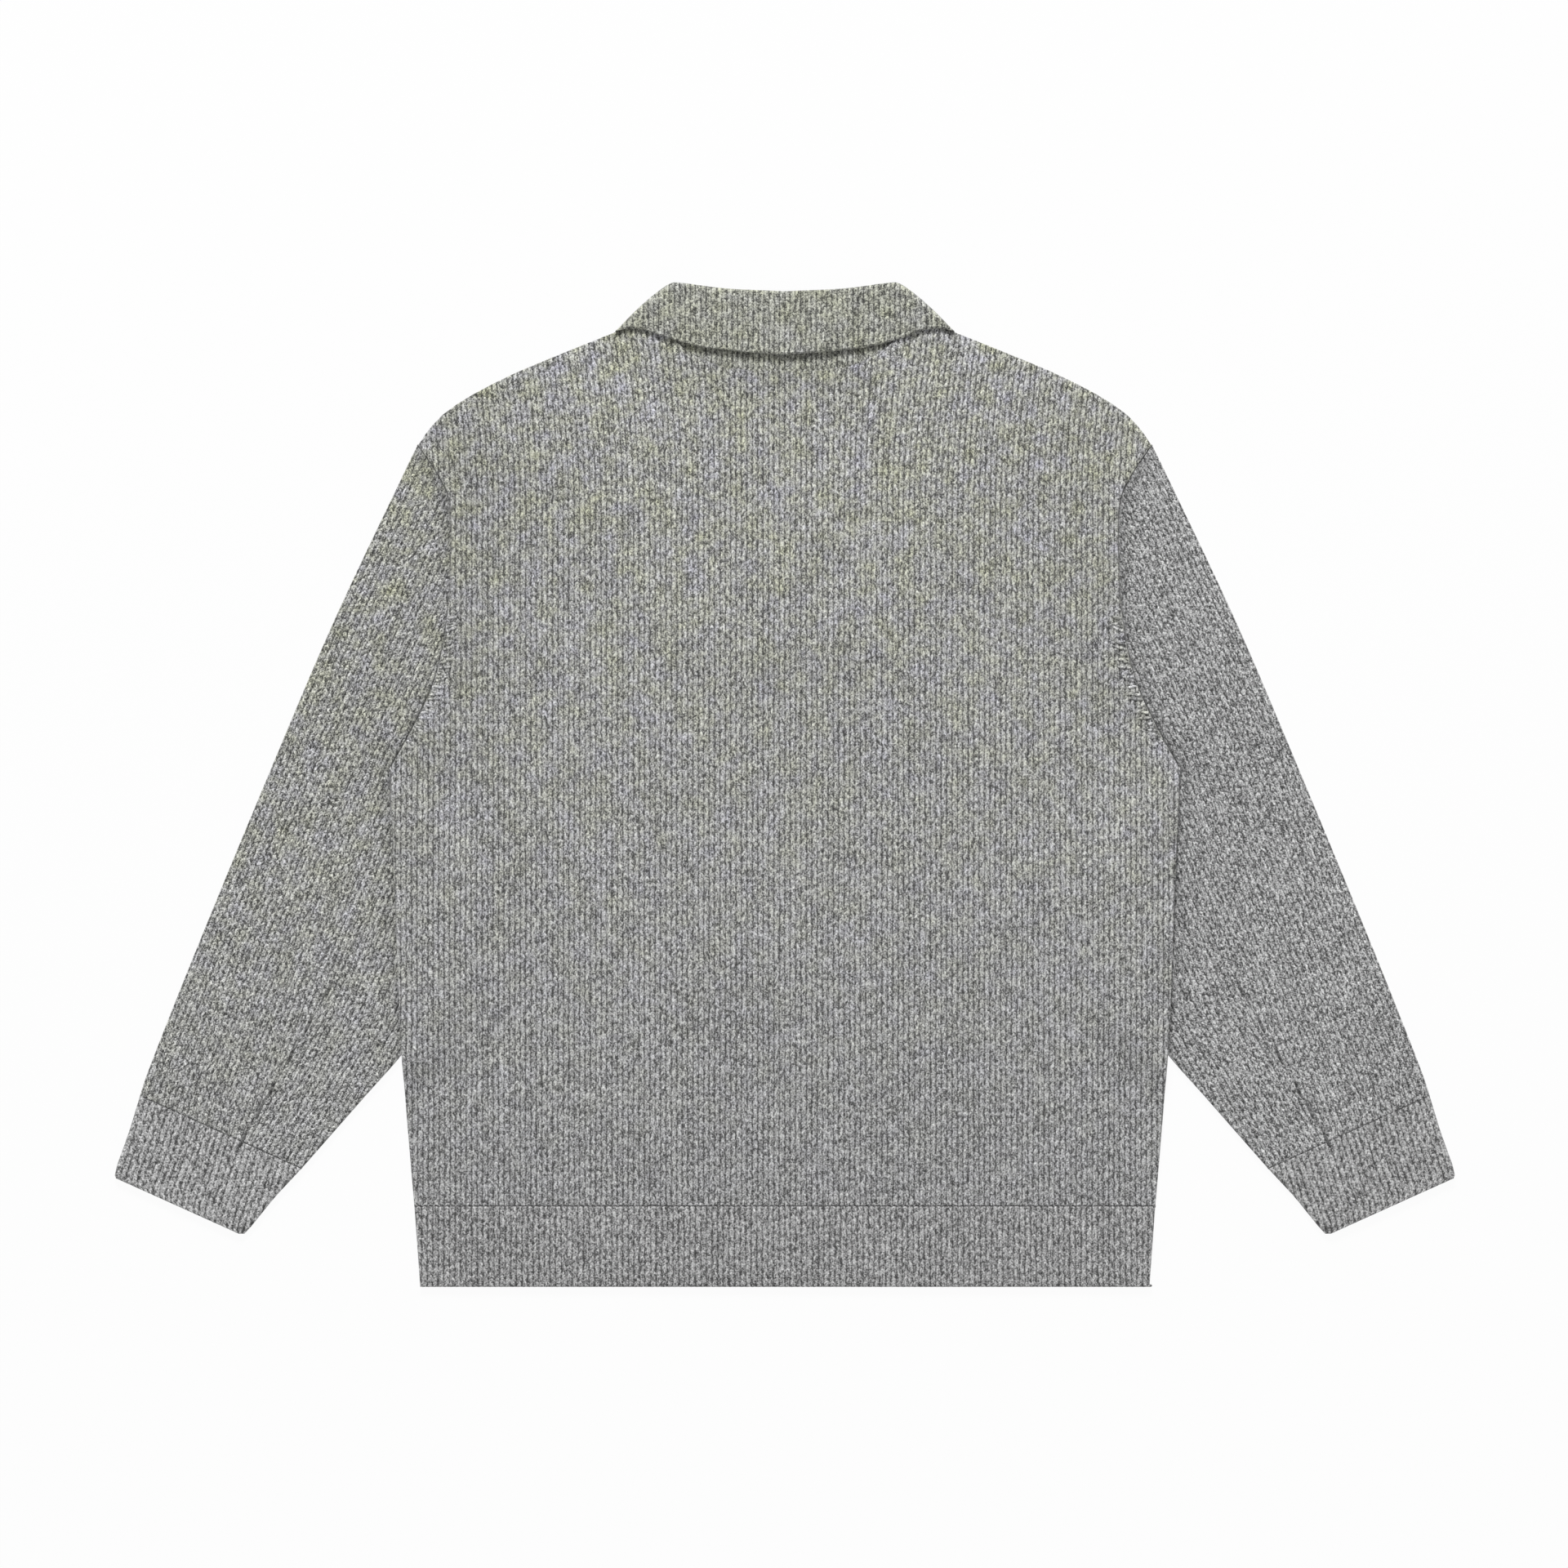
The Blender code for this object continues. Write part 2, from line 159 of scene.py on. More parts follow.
# The fall's edge curls up: by how much, how far in, and where that ends to each side.
FALL_CURL = 1.6
CURL_REACH = 9.0
CURL_FADE = (80.0, 120.0)
# From the first to the second of these X values the curl loses this share.
FLAT_SIDE = (10.0, 60.0)
CURL_LOSS = 0.85
# Painted shade on the neck's seam below the fall: how much darker and how far, and where
# it ends on the left.
NECK_PAINTED_SHADE = (0.25, 2.0)
NECK_PAINTED_SHADE_END = (60.0, 85.0)

# Rows of points on each side of a roll, and steps round it.
ROLL_ROWS = 14
ROLL_STEPS = 9
# A roll is as deep as this share of half its height, and this much more. Its inner face is at
# least INNER_ROLL deep, and ROLL_SLACK is left between the roll and the lines of the edge.
ROLL_DEPTH = (0.8, 0.6)
INNER_ROLL = 0.5
ROLL_SLACK = 0.2

# Soft creases, as (start, end, reach to each side, height).
BODY_CREASES = (
    ((-262.0, 30.0), (-120.0, -70.0), 26.0, 0.9),
    ((258.0, 10.0), (150.0, -95.0), 22.0, 0.8),
    ((-215.0, 120.0), (-95.0, 60.0), 30.0, 0.6),
    ((205.0, 150.0), (80.0, 95.0), 34.0, 0.6),
    ((-60.0, -120.0), (70.0, -205.0), 38.0, 0.7),
    ((-190.0, -215.0), (-90.0, -275.0), 24.0, 0.5),
    ((120.0, -250.0), (215.0, -285.0), 20.0, 0.5),
    ((-30.0, 210.0), (60.0, 180.0), 30.0, 0.5),
)
SLEEVE_CREASES = (
    ((300.0, 120.0), (345.0, 60.0), 20.0, 0.8),
    ((320.0, 20.0), (385.0, -30.0), 18.0, 0.9),
    ((330.0, -60.0), (400.0, -95.0), 22.0, 0.7),
    ((345.0, -150.0), (430.0, -165.0), 20.0, 0.7),
    ((360.0, -225.0), (440.0, -215.0), 14.0, 0.5),
)

# Loops of yarn across the lower armhole's edge: from and to these heights.
LOOP_SPAN = (122.0, 30.0)
LOOP_SPACING = 3.3
LOOP_LENGTH = 10.0
LOOP_SIZE = (2.3, 1.2)
LOOP_INSET = 0.5
# How their tilt and length sway from loop to loop: the mean, the swing and the step of its angle.
LOOP_TILT = (-0.3, 0.3, 1.7)
LOOP_SHARE = (0.85, 0.25, 2.9)
SLOPE_STEP = 1.0
# How light they are, and how far light and dark ones differ on each side.
LOOP_SHADE = 0.975
LOOP_CONTRAST = {-1: 0.1, 1: 0.45}

# A stitch is a spindle: its rings, as shares of half its length, and the corners of each.
SPINDLE_RINGS = np.array([-0.95, -0.6, 0.0, 0.6, 0.95])
SPINDLE_CORNERS = 6
# Stitches as (length, width, height), and how light they are.
HEM_STITCH = (2.8, 1.6, 1.0)
HEM_STITCH_SHADE = 0.9
CUFF_STITCH = (2.8, 1.7, 1.0)
CUFF_STITCH_SHADE = 0.62
NECK_STITCH = (4.0, 2.6, 1.6)
NECK_SHADE = 0.8
# The bound-off stitches along an edge, how far in they lie, and which way in is on a cuff.
CHAIN_SIZE = (4.4, 2.2, 1.7)
CHAIN_INSET = 0.9
CUFF_INWARDS = (-0.4, 0.9)

# The yarn inside a seam's gap: its radius, its section's corners across and up, its lightness.
# Its dark tone is painted shade in the seam, and at the armholes it is darker on the right.
CORE_RADIUS = 0.7
CORE_SECTION = np.array([[1.0, 0.0, -1.0, 0.0], [0.0, 1.0, 0.0, -1.0]])
CORE_SHADE = 0.6
ARMHOLE_CORE_SHADE = {-1: 0.95, 1: 0.6}
# The knit coordinate across a rib that a single yarn has.
YARN_AT = 0.28

# How far the back panel lifts to the collar's stand, and how far from the neckline.
NECK_RISE = 2.6
NECK_REACH = 14.0

# A strip of the body beside the armhole is lighter, and its ribs are lower by a share.
ARMHOLE_STRIP = 8.0
STRIP_LIGHT = 0.08
STRIP_FLATNESS = 0.6
# How much lighter a cuff is at its end, and how far.
RIM_LIGHT = 0.15
RIM_REACH = 2.0
# The shadow on the sleeve along the armhole: how dark, and how far.
SEAM_SHADOW = (0.36, 8.0)
# Painted shade on the body towards each armhole: how much darker, on the left and on the right.
ARMHOLE_PAINTED_SHADE = (0.15, 0.06)
ARMHOLE_SHADE_REACH = 50.0
# The armhole's shadow is fainter below the shoulder, and more so on the lit side.
SEAM_BELOW = {-1: 0.3, 1: 0.75}
SEAM_CHANGE = (150.0, 200.0)
# How light the upper sleeves and the cuffs are, by side.
ARM_TONE = {-1: 0.93, 1: 0.97}
ARM_TONE_FADE = (-100.0, 60.0)
CUFF_TONE = {-1: 1.07, 1: 1.0}
# The shadow on the sleeve along the body's side: how dark, and how far.
SIDE_SHADOW = (0.14, 10.0)

# Offsets of the lines that shape a rounded edge, and how many times the last one a row has to
# be wide to keep them all.
EDGE_OFFSETS = np.array([0.0, 0.3, 0.8, 1.6])
EDGE_ROOM = 2.2
# How far in the cloth is round at an edge, at a seam and at a folded side.
EDGE_RADIUS = 1.5
SEAM_RADIUS = 0.7
FOLD_RADIUS = 2.3
# Half of the thickness that is left at the very edge.
EDGE_STEP = 0.3

# The floor's glow is the white of the photograph's ground. These lengths are in metres.
FLOOR_GLOW = 0.948
FLOOR_TONE = 0.03
FLOOR_SIZE = 40.0
FLOOR_DROP = -0.0001
WHITE = (1.0, 1.0, 1.0, 1.0)
SKY_GLOW = 0.5
LAMPS = (
    {"name": "key_lamp", "at": (-0.4, 3.5, 2.5), "size": 1.0, "power": 225.0},
    {"name": "fill_lamp", "at": (1.2, -2.8, 3.0), "size": 2.0, "power": 25.0},
)

# The yarn's surface, by the names of the shader's sockets.
SURFACE = {
    "Roughness": 0.95, "Specular IOR Level": 0.15, "Sheen Weight": 0.25, "Sheen Roughness": 0.6,
}
# The noises of the knit, as (scale, detail). That of the streaks is stretched along the ribs.
NOISES = {
    "wander": (260.0, 1.0), "blotch": (900.0, 2.0), "streak": (0.75, 2.0),
    "fibre": (1500.0, 2.0), "cloud": (7.0, 2.0), "patch": (68.0, 2.0),
}
NOISE_ROUGHNESS = 0.6
STREAK_STRETCH = (4.0, 1.1)
# How far a yarn strays across a rib, how that moves its stitches, and the slant of their legs.
WANDER = 0.35
WANDER_UP = 1.5
LEG_SLANT = 1.5
# How narrow the dark gap between two ribs and the groove along a rib's middle are.
GAP_POWER = 3.0
GROOVE_POWER = 6.0
DARKEST = 0.12
# What a full warm patch adds to red, green and blue.
WARM_TINT = (0.001, 0.003, -0.031)
# How much each part of the knit adds to the bump's height, and the bump itself in metres.
BUMP = {"gap": -0.8, "leg": 0.5, "groove": -0.3, "blotch": 0.8, "fibre": 0.6}
BUMP_STRENGTH = 0.7
BUMP_DISTANCE = 0.0006

# How much each part of the knit adds to the tone, how far the warm patches differ from their
# mean, and how they grow to the left. A look adds its colour, its warmth and its painted shade
# that darkens it towards the hem.
GRAIN = ("yarn", "blotch", "streak", "fibre", "cloud")
# The last parts paint the knit's relief into the tone: painted shade in the gaps between ribs, in
# the grooves along them and at the edges of the stitch legs.
RELIEF_SHADING = ("leg", "gap", "groove")
KNIT = {
    "yarn": 0.8, "blotch": 2.7, "streak": 3.2, "fibre": 3.3, "cloud": 0.16,
    "leg": 0.3, "gap": -0.85, "groove": -0.15, "to_left": 0.0, "patch": 8.0,
}
LOOKS = {
    "back_knit": {
        **KNIT, "colour": (0.306, 0.307, 0.312), "warm": 1.0, "hem_shade": 0.12, "seed": 1.0,
        "fibre": 3.8,
    },
    "front_knit": {**KNIT, "colour": (0.298, 0.299, 0.303), "warm": 1.0, "hem_shade": 0.12, "seed": 2.0},
    "hem_knit": {
        **KNIT, "colour": (0.305, 0.305, 0.305), "warm": 0.0, "hem_shade": 0.12, "seed": 3.0,
        "fibre": 3.8,
    },
    "sleeve_knit": {
        **KNIT, "colour": (0.291, 0.292, 0.292), "warm": 0.5, "hem_shade": 0.0, "seed": 4.0,
        "to_left": 3.3, "gap": -0.7, "yarn": 1.05, "blotch": 3.8, "streak": 4.1, "fibre": 4.2,
    },
    "cuff_knit": {**KNIT, "colour": (0.305, 0.305, 0.305), "warm": 0.1, "hem_shade": 0.0, "seed": 5.0},
    "collar_knit": {
        **KNIT, "colour": (0.275, 0.277, 0.279), "warm": 1.2, "hem_shade": 0.0, "seed": 6.0,
        "patch": 3.1,
    },
}

# The photograph's frame in metres: a square of this width, seen from straight above.
FRAME_WIDTH = 1.152
FRAME_CENTRE = (-0.0006, 0.0006)
CAMERA_HEIGHT = 3.2
SENSOR_WIDTH = 36.0


def curve(points):
    """A soft curve through the points, as an array of (x, y) rows."""
    ends = np.array([points[0], *points, points[-1]])
    t = np.arange(CURVE_STEPS)[:, None] / CURVE_STEPS
    spans = []
    for a, b, c, d in zip(ends, ends[1:], ends[2:], ends[3:]):
        bend = (2 * a - 5 * b + 4 * c - d) * t**2 + (3 * b - a - 3 * c + d) * t**3
        spans.append(0.5 * (2 * b + (c - a) * t + bend))
    return np.vstack([*spans, ends[-1:]])


def reading(line, at, along=1):
    """The line's other coordinate where its coordinate `along` has these values."""
    order = np.argsort(line[:, along], kind="stable")
    return np.interp(at, line[order, along], line[order, 1 - along])


def distance(x, y, line):
    """How far each point is from the line."""
    points = np.stack([x.ravel(), y.ravel()], axis=1)
    nearest = np.full(len(points), np.inf)
    for start, end in zip(line[:-1], line[1:]):
        run = end - start
        length = run @ run
        if length == 0:
            continue
        t = np.clip((points - start) @ run / length, 0, 1)
        gap = points - start - t[:, None] * run
        nearest = np.minimum(nearest, np.hypot(gap[:, 0], gap[:, 1]))
    return nearest.reshape(x.shape)


def area_of(outline):
    """The area inside a closed outline."""
    x, y = np.asarray(outline).T
    return abs(np.sum(x * np.roll(y, -1) - y * np.roll(x, -1))) / 2


def soft_step(value, start, end):
    """0 up to the start, 1 from the end on, and a soft slope between them."""
    t = np.clip((value - start) / (end - start), 0, 1)
    return t * t * (3 - 2 * t)


def bell(gap, reach):
    """1 where there is no gap, and about a third of that where it is as wide as the reach."""
    near = gap / reach
    return np.exp(-near * near)


def rise(x, y, over):
    """1 inside the full ellipse, 0 outside the other one, and a soft slope between them."""
    across, along = np.abs(x) - over["centre"][0], y - over["centre"][1]
    past_full = np.hypot(across / over["full"][0], along / over["full"][1]) - 1
    short_of_none = 1 - np.hypot(across / over["none"][0], along / over["none"][1])
    past_full = np.maximum(past_full, 0)
    short_of_none = np.maximum(short_of_none, 0)
    t = short_of_none / np.maximum(past_full + short_of_none, TINY)
    return t * t * (3 - 2 * t)


def body_lift(x, y):
    """How far the body's cloth is lifted by the sleeves and the lapels under it."""
    return SLEEVE_LIFT * rise(x, y, OVER_SLEEVE) + LAPEL_LIFT * rise(x, y, OVER_LAPELS)


def neck_rise(x, y):
    """How far the back panel lifts to the collar's stand along the neckline."""
    near = bell(distance(np.abs(x), y, curve(BACK_NECK)), NECK_REACH)
    return NECK_RISE * standing(np.abs(x)) * near


def standing(x):
    """1 where the collar stands at its full height, and 0 from the neck point outwards."""
    return 1 - soft_step(x, *STAND_END)


def back_lift(x, y):
    return body_lift(x, y) + neck_rise(x, y)


def painted_neck_shade(x, y):
    """Painted shade: how much darker the cloth is along the middle and left of the back neck seam.
    """
    depth, reach = NECK_PAINTED_SHADE
    along = (1 - soft_step(x, *FLAT_SIDE)) * (1 - soft_step(-x, *NECK_PAINTED_SHADE_END))
    return depth * along * bell(distance(np.abs(x), y, curve(BACK_NECK)), reach)


def creased(x, y, creases):
    """The height that the creases add, which dies out past their ends."""
    height = np.zeros_like(x)
    for start, end, reach, full in creases:
        share = bell(distance(x, y, np.array([start, end])), reach)
        height = np.maximum(height, full * share)
    return height


def rib_relief(u):
    """The height of a rib over its valleys, for a rib number u that is whole in a valley."""
    return RIB_RELIEF * (1 - np.abs(np.cos(math.pi * u)) ** VALLEY_POWER)


class Cloth:
    """The points, knit coordinates, shades and faces of one piece as it is made."""

    def __init__(self):
        self.points = []
        self.knit = []
        self.shades = []
        self.faces = []
        self.count = 0

    def layer(self, xyz, knit, shade=1.0):
        """Adds rows of points and returns their numbers. Those that coincide in a row are one."""
        same = np.hypot(*np.moveaxis(np.diff(xyz[:, :, :2], axis=1), 2, 0)) < ONE_PLACE
        fresh = np.hstack([np.ones((len(xyz), 1), bool), ~same])
        ids = self.count - 1 + np.cumsum(fresh.ravel()).reshape(fresh.shape)
        self.points.append(xyz[fresh])
        self.knit.append(knit[fresh])
        self.shades.append(np.broadcast_to(shade, fresh.shape)[fresh])
        self.count += int(fresh.sum())
        return ids

    def fill(self, ids, skip=()):
        """Faces between neighbouring rows and columns, but for the skipped (row, column) cells."""
        a, b, c, d = ids[:-1, :-1], ids[:-1, 1:], ids[1:, 1:], ids[1:, :-1]
        keep = (a != b) | (c != d)
        for row, column in skip:
            keep[row, column] = False
        for quad in np.stack([a, b, c, d], axis=2)[keep].tolist():
            self.faces.append(list(dict.fromkeys(quad)))

    def wall(self, run_a, run_b):
        """Faces between two runs of points that lie at the same places."""
        for quad in zip(run_a[:-1], run_a[1:], run_b[1:], run_b[:-1]):
            face = list(dict.fromkeys(int(p) for p in quad))
            if len(face) > 2:
                self.faces.append(face)

    def zipped(self, ids_a, at_a, ids_b, at_b):
        """Triangles between two runs of points that lie at different places."""
        a = list(dict(zip(ids_a.tolist(), at_a.tolist())).items())
        b = list(dict(zip(ids_b.tolist(), at_b.tolist())).items())
        i = j = 0
        while i < len(a) - 1 or j < len(b) - 1:
            if j == len(b) - 1 or (i < len(a) - 1 and a[i + 1][1] <= b[j + 1][1]):
                self.faces.append([a[i][0], a[i + 1][0], b[j][0]])
                i += 1
            else:
                self.faces.append([a[i][0], b[j + 1][0], b[j][0]])
                j += 1

    def stitch(self, centre, heading, size, shade):
        """A yarn's float on the surface: a small spindle of this (length, width, height)."""
        t = SPINDLE_RINGS[:, None]
        angle = np.arange(SPINDLE_CORNERS) * 2 * math.pi / SPINDLE_CORNERS
        swell = np.sqrt(1 - t * t)
        along = np.repeat(t * size[0] / 2, SPINDLE_CORNERS, axis=1)
        across = swell * np.cos(angle) * size[1] / 2
        x = centre[0] + along * heading[0] - across * heading[1]
        y = centre[1] + along * heading[1] + across * heading[0]
        z = centre[2] + swell * np.sin(angle) * size[2] / 2
        knit = np.stack([YARN_AT + 0 * x, along / STITCH_HEIGHT + centre[1]], axis=2)
        self.closed_tube(np.stack([x, y, z], axis=2), knit, shade)

    def closed_tube(self, rings, knit, shade):
        """A tube through rings of points, with a cap on each end."""
        ids = self.layer(rings, knit, shade)
        self.fill(np.hstack([ids, ids[:, :1]]))
        self.faces.append(ids[0].tolist())
        self.faces.append(ids[-1].tolist())

    def core(self, line, z, shade):
        """The yarn that fills a seam's gap along this line."""
        across, up = CORE_RADIUS * CORE_SECTION
        x, y = (np.repeat(line[:, [k]], len(across), axis=1) for k in (0, 1))
        run = np.gradient(line, axis=0)
        run = run / np.hypot(run[:, 0], run[:, 1])[:, None]
        height = z(x, y) + up
        rings = np.stack([x - run[:, 1:] * across, y + run[:, :1] * across, height], axis=2)
        knit = np.stack([YARN_AT + 0 * x, y / STITCH_HEIGHT], axis=2)
        self.closed_tube(rings, knit, shade)

    def made(self, name):
        """The object, with its faces turned outwards and its knit coordinates as a UV map."""
        mesh = bpy.data.meshes.new(name)
        mesh.from_pydata((np.vstack(self.points) * MM).tolist(), [], self.faces)
        shape = bmesh.new()
        shape.from_mesh(mesh)
        bmesh.ops.recalc_face_normals(shape, faces=shape.faces)
        shape.to_mesh(mesh)
        shape.free()
        corners = np.empty(len(mesh.loops), np.int32)
        mesh.loops.foreach_get("vertex_index", corners)
        knit = np.vstack(self.knit)[corners]
        mesh.uv_layers.new(name="knit").data.foreach_set("uv", knit.ravel())
        shade = mesh.attributes.new("shade", "FLOAT", "POINT")
        shade.data.foreach_set("value", np.concatenate(self.shades))
        mesh.shade_smooth()
        made = bpy.data.objects.new(name, mesh)
        bpy.context.scene.collection.objects.link(made)
        return made


def between_edges(low, high, columns, soft_low=None):
    """Positions across each row: edge lines at both ends, and the columns between them."""
    room = np.minimum(1, (high - low) / (EDGE_ROOM * EDGE_OFFSETS[-1]))[:, None]
    soft = 1.0 if soft_low is None else soft_low[:, None]
    from_low = low[:, None] + EDGE_OFFSETS * room * soft
    from_high = high[:, None] - EDGE_OFFSETS[::-1] * room
    middle = np.clip(columns, from_low[:, -1:], from_high[:, :1])
    return np.hstack([from_low, middle, from_high])


def edge_rows(marks, spacing):
    """Rows between the marks, with edge lines beside each mark."""
    rows = []
    for start, end in zip(marks, marks[1:]):
        first, last = start + EDGE_OFFSETS[-1], end - EDGE_OFFSETS[-1]
        count = max(1, round((last - first) / spacing))
        rows += [start + offset for offset in EDGE_OFFSETS.tolist()]
        rows += [end - offset for offset in EDGE_OFFSETS.tolist()]
        rows += [first + (last - first) * k / count for k in range(1, count)]
    return np.array(sorted({round(row, ROW_DECIMALS) for row in rows}))


def rounded(base, x, y, borders, upper):
    """Heights that bend to the nearest border's own height, where the cloth's edge is round."""
    height = np.array(base, float)
    nearest = np.full(x.shape, np.inf)
    for border in borders:
        gap = distance(x, y, border["line"])
        edge = border["height"] + (EDGE_STEP if upper else -EDGE_STEP)
        if "lift" in border:
            edge = edge + border["lift"](x, y)
        t = 1 - np.clip(gap / border["radius"], 0, 1)
        bent = edge + (base - edge) * np.sqrt(1 - t * t)
        height = np.where(gap < nearest, bent, height)
        nearest = np.minimum(gap, nearest)
    return height


def panel(cloth, rows, inner, outer, low, lift, relief, borders):
    """One wall of cloth on both sides of the middle line, with ribs on top where relief is set."""
    layers = []
    armhole = curve(ARMHOLE)
    parted = [row for row in range(len(rows) - 1) if inner[row + 1] > 0]
    for upper in (True, False):
        spacing = BODY_PITCH / COLUMNS_PER_RIB if upper and relief else PLAIN_SPACING
        u = np.arange(0, outer.max() + spacing, spacing)
        columns = np.array([leaning(u, y) for y in rows])
        half = between_edges(inner, outer, columns, (inner > 0).astype(float))
        x = np.hstack([-half[:, ::-1], half])
        y = np.repeat(rows[:, None], x.shape[1], axis=1)
        rib = np.array([np.sign(at) * np.interp(np.abs(at), c, u) for at, c in zip(x, columns)])
        rib /= BODY_PITCH
        away = distance(np.abs(x), y, armhole)
        strip = bell(away, ARMHOLE_STRIP)
        base = low + lift(x, y) + creased(x, y, BODY_CREASES)
        if upper:
            base += WALL + (rib_relief(rib) * (1 - STRIP_FLATNESS * strip) if relief else 0)
        z = rounded(base, np.abs(x), y, borders, upper)
        shade = 1 + STRIP_LIGHT * strip
        # Painted shade towards each armhole.
        shade -= np.where(x < 0, *ARMHOLE_PAINTED_SHADE) * bell(away, ARMHOLE_SHADE_REACH)
        # Painted shade along the back neck's seam.
        if relief:
            shade -= painted_neck_shade(x, y)
        knit = np.stack([rib, y / STITCH_HEIGHT], axis=2)
        ids = cloth.layer(np.stack([x, y, z], axis=2), knit, shade)
        middle = half.shape[1] - 1
        cloth.fill(ids, [(row, middle) for row in parted])
        layers.append((ids, x, middle))
    (top, top_x, top_middle), (under, under_x, under_middle) = layers
    cloth.wall(top[:, 0], under[:, 0])
    cloth.wall(top[:, -1], under[:, -1])
    for row in parted:
        for shift in (0, 1):
            a = top[row : row + 2, top_middle + shift]
            b = under[row : row + 2, under_middle + shift]
            cloth.wall(a, b)
    whole = (slice(None), slice(None))
    halves = (
        (slice(0, top_middle + 1), slice(0, under_middle + 1)),
        (slice(top_middle + 1, None), slice(under_middle + 1, None)),
    )
    for row, parts in ((0, (whole,)), (-1, halves)):
        for a, b in parts:
            cloth.zipped(top[row, a], top_x[row, a], under[row, b], under_x[row, b])


def leaning(u, y):
    """Where the body's ribs run: upright, but leaning out to the shoulders beside the neck."""
    up = max(y - LEAN_START, 0) / LEAN_RISE
    return u + LEAN * up * up * soft_step(u, *LEAN_FADE)


def body_panel(neck, low, relief):
    """A panel of the body that lies at this height, and its area. The neck is its neckline."""
    cloth = Cloth()
    foot = neck[-1][1]
    hem = HEM_SEAM + SEAM_GAP / 2
    rows = edge_rows([hem, foot, NECK_POINT[1] - NECK_POINT_CUT], ROW_SPACING)
    rows = np.unique(np.concatenate([rows, foot + np.array(NECK_ROWS)]))
    side = np.vstack([curve(line)[::-1] for line in (SIDE, ARMHOLE, SHOULDER)])
    neckline = curve(neck)
    outer = reading(side, rows)
    inner = np.where(rows > foot + HAIR, reading(neckline, rows), 0.0)
    lines = (
        np.array([[0.0, hem], [HEM_CORNER[0], hem]]),
        side,
        neckline,
        np.array([[0.0, foot], neck[-1]]),
    )
    radii = (SEAM_RADIUS, EDGE_RADIUS, SEAM_RADIUS, SEAM_RADIUS)
    lift = back_lift if relief else body_lift
    borders = [
        {"line": line, "height": low + WALL / 2, "radius": radius, "lift": lift}
        for line, radius in zip(lines, radii)
    ]
    panel(cloth, rows, inner, outer, low, lift, relief, borders)
    return cloth, 2 * area_of(np.vstack([[[0.0, hem]], side, neckline, [[0.0, foot]]]))


def turned(points, turn):
    """Points in axes that lean with the cuff's seam."""
    x, y = np.asarray(points, float).T
    cos, sin = math.cos(turn), math.sin(turn)
    return np.stack([x * cos + y * sin, y * cos - x * sin], axis=1)


def tube(rows, low, high, columns, rib_of, lines, turn, side, extra, shade_of, end_radii):
    """A flattened tube: a ribbed layer on a plain one, joined at both sides, open at its ends."""
    cloth = Cloth()
    plain = np.arange(low.min(), high.max() + PLAIN_SPACING, PLAIN_SPACING)
    plain = np.repeat(plain[None], len(rows), axis=0)
    middle = (low + high) / 2
    inside_low = np.minimum(low + WALL, middle - HAIR)
    inside_high = np.maximum(high - WALL, middle + HAIR)
    folds = [
        {"line": line, "height": (TWO_LAYERS + RIB_RELIEF) / 2, "radius": FOLD_RADIUS}
        for line in lines
    ]
    specs = (
        (low, high, columns, TWO_LAYERS, SECOND_LAYER, True, folds),
        (inside_low, inside_high, plain, SECOND_LAYER, SECOND_LAYER, False, []),
        (inside_low, inside_high, plain, WALL, 0.0, True, []),
        (low, high, plain, 0.0, 0.0, False, folds),
    )
    made = []
    for start, end, at, base, layer_low, upper, side_folds in specs:
        x = between_edges(start, end, at)
        y = np.repeat(rows[:, None], x.shape[1], axis=1)
        rib = rib_of(x, y)
        back_x, back_y = turned(np.stack([x.ravel(), y.ravel()], axis=1), -turn).T
        place_x, place_y = side * back_x.reshape(x.shape), back_y.reshape(x.shape)
        height = base + extra(place_x, place_y)
        if base == TWO_LAYERS:
            height += rib_relief(rib)
        if side_folds:
            height = rounded(height, x, y, side_folds, upper)
        inside_ends = np.minimum((rows - rows[0]) / end_radii[0], (rows[-1] - rows) / end_radii[1])
        past = 1 - np.clip(inside_ends, 0, 1)[:, None]
        edge = layer_low + WALL / 2 + (EDGE_STEP if upper else -EDGE_STEP)
        height = edge + (height - edge) * np.sqrt(1 - past * past)
        xyz = np.stack([place_x, place_y, height], axis=2)
        shade = shade_of(np.abs(place_x), place_y)
        ids = cloth.layer(xyz, np.stack([rib, y / STITCH_HEIGHT], axis=2), shade)
        cloth.fill(ids)
        made.append((ids, x))
    (top, top_x), (over, over_x), (inside, inside_x), (under, under_x) = made
    for end in (0, -1):
        cloth.wall(top[:, end], under[:, end])
        cloth.wall(over[:, end], inside[:, end])
        cloth.zipped(top[end], top_x[end], over[end], over_x[end])
        cloth.zipped(under[end], under_x[end], inside[end], inside_x[end])
        for corner in (0, -1):
            cloth.faces.append([int(layer[end, corner]) for layer in (top, over, inside, under)])
    return cloth


def none(x, _y):
    return np.zeros_like(x)


def ones(x, _y):
    return np.ones_like(x)


def seam_turn():
    """How far the seam between sleeve and cuff is turned from the X axis."""
    run = np.subtract(CUFF_OUTER, CUFF_INNER)
    return math.atan2(run[1], run[0])


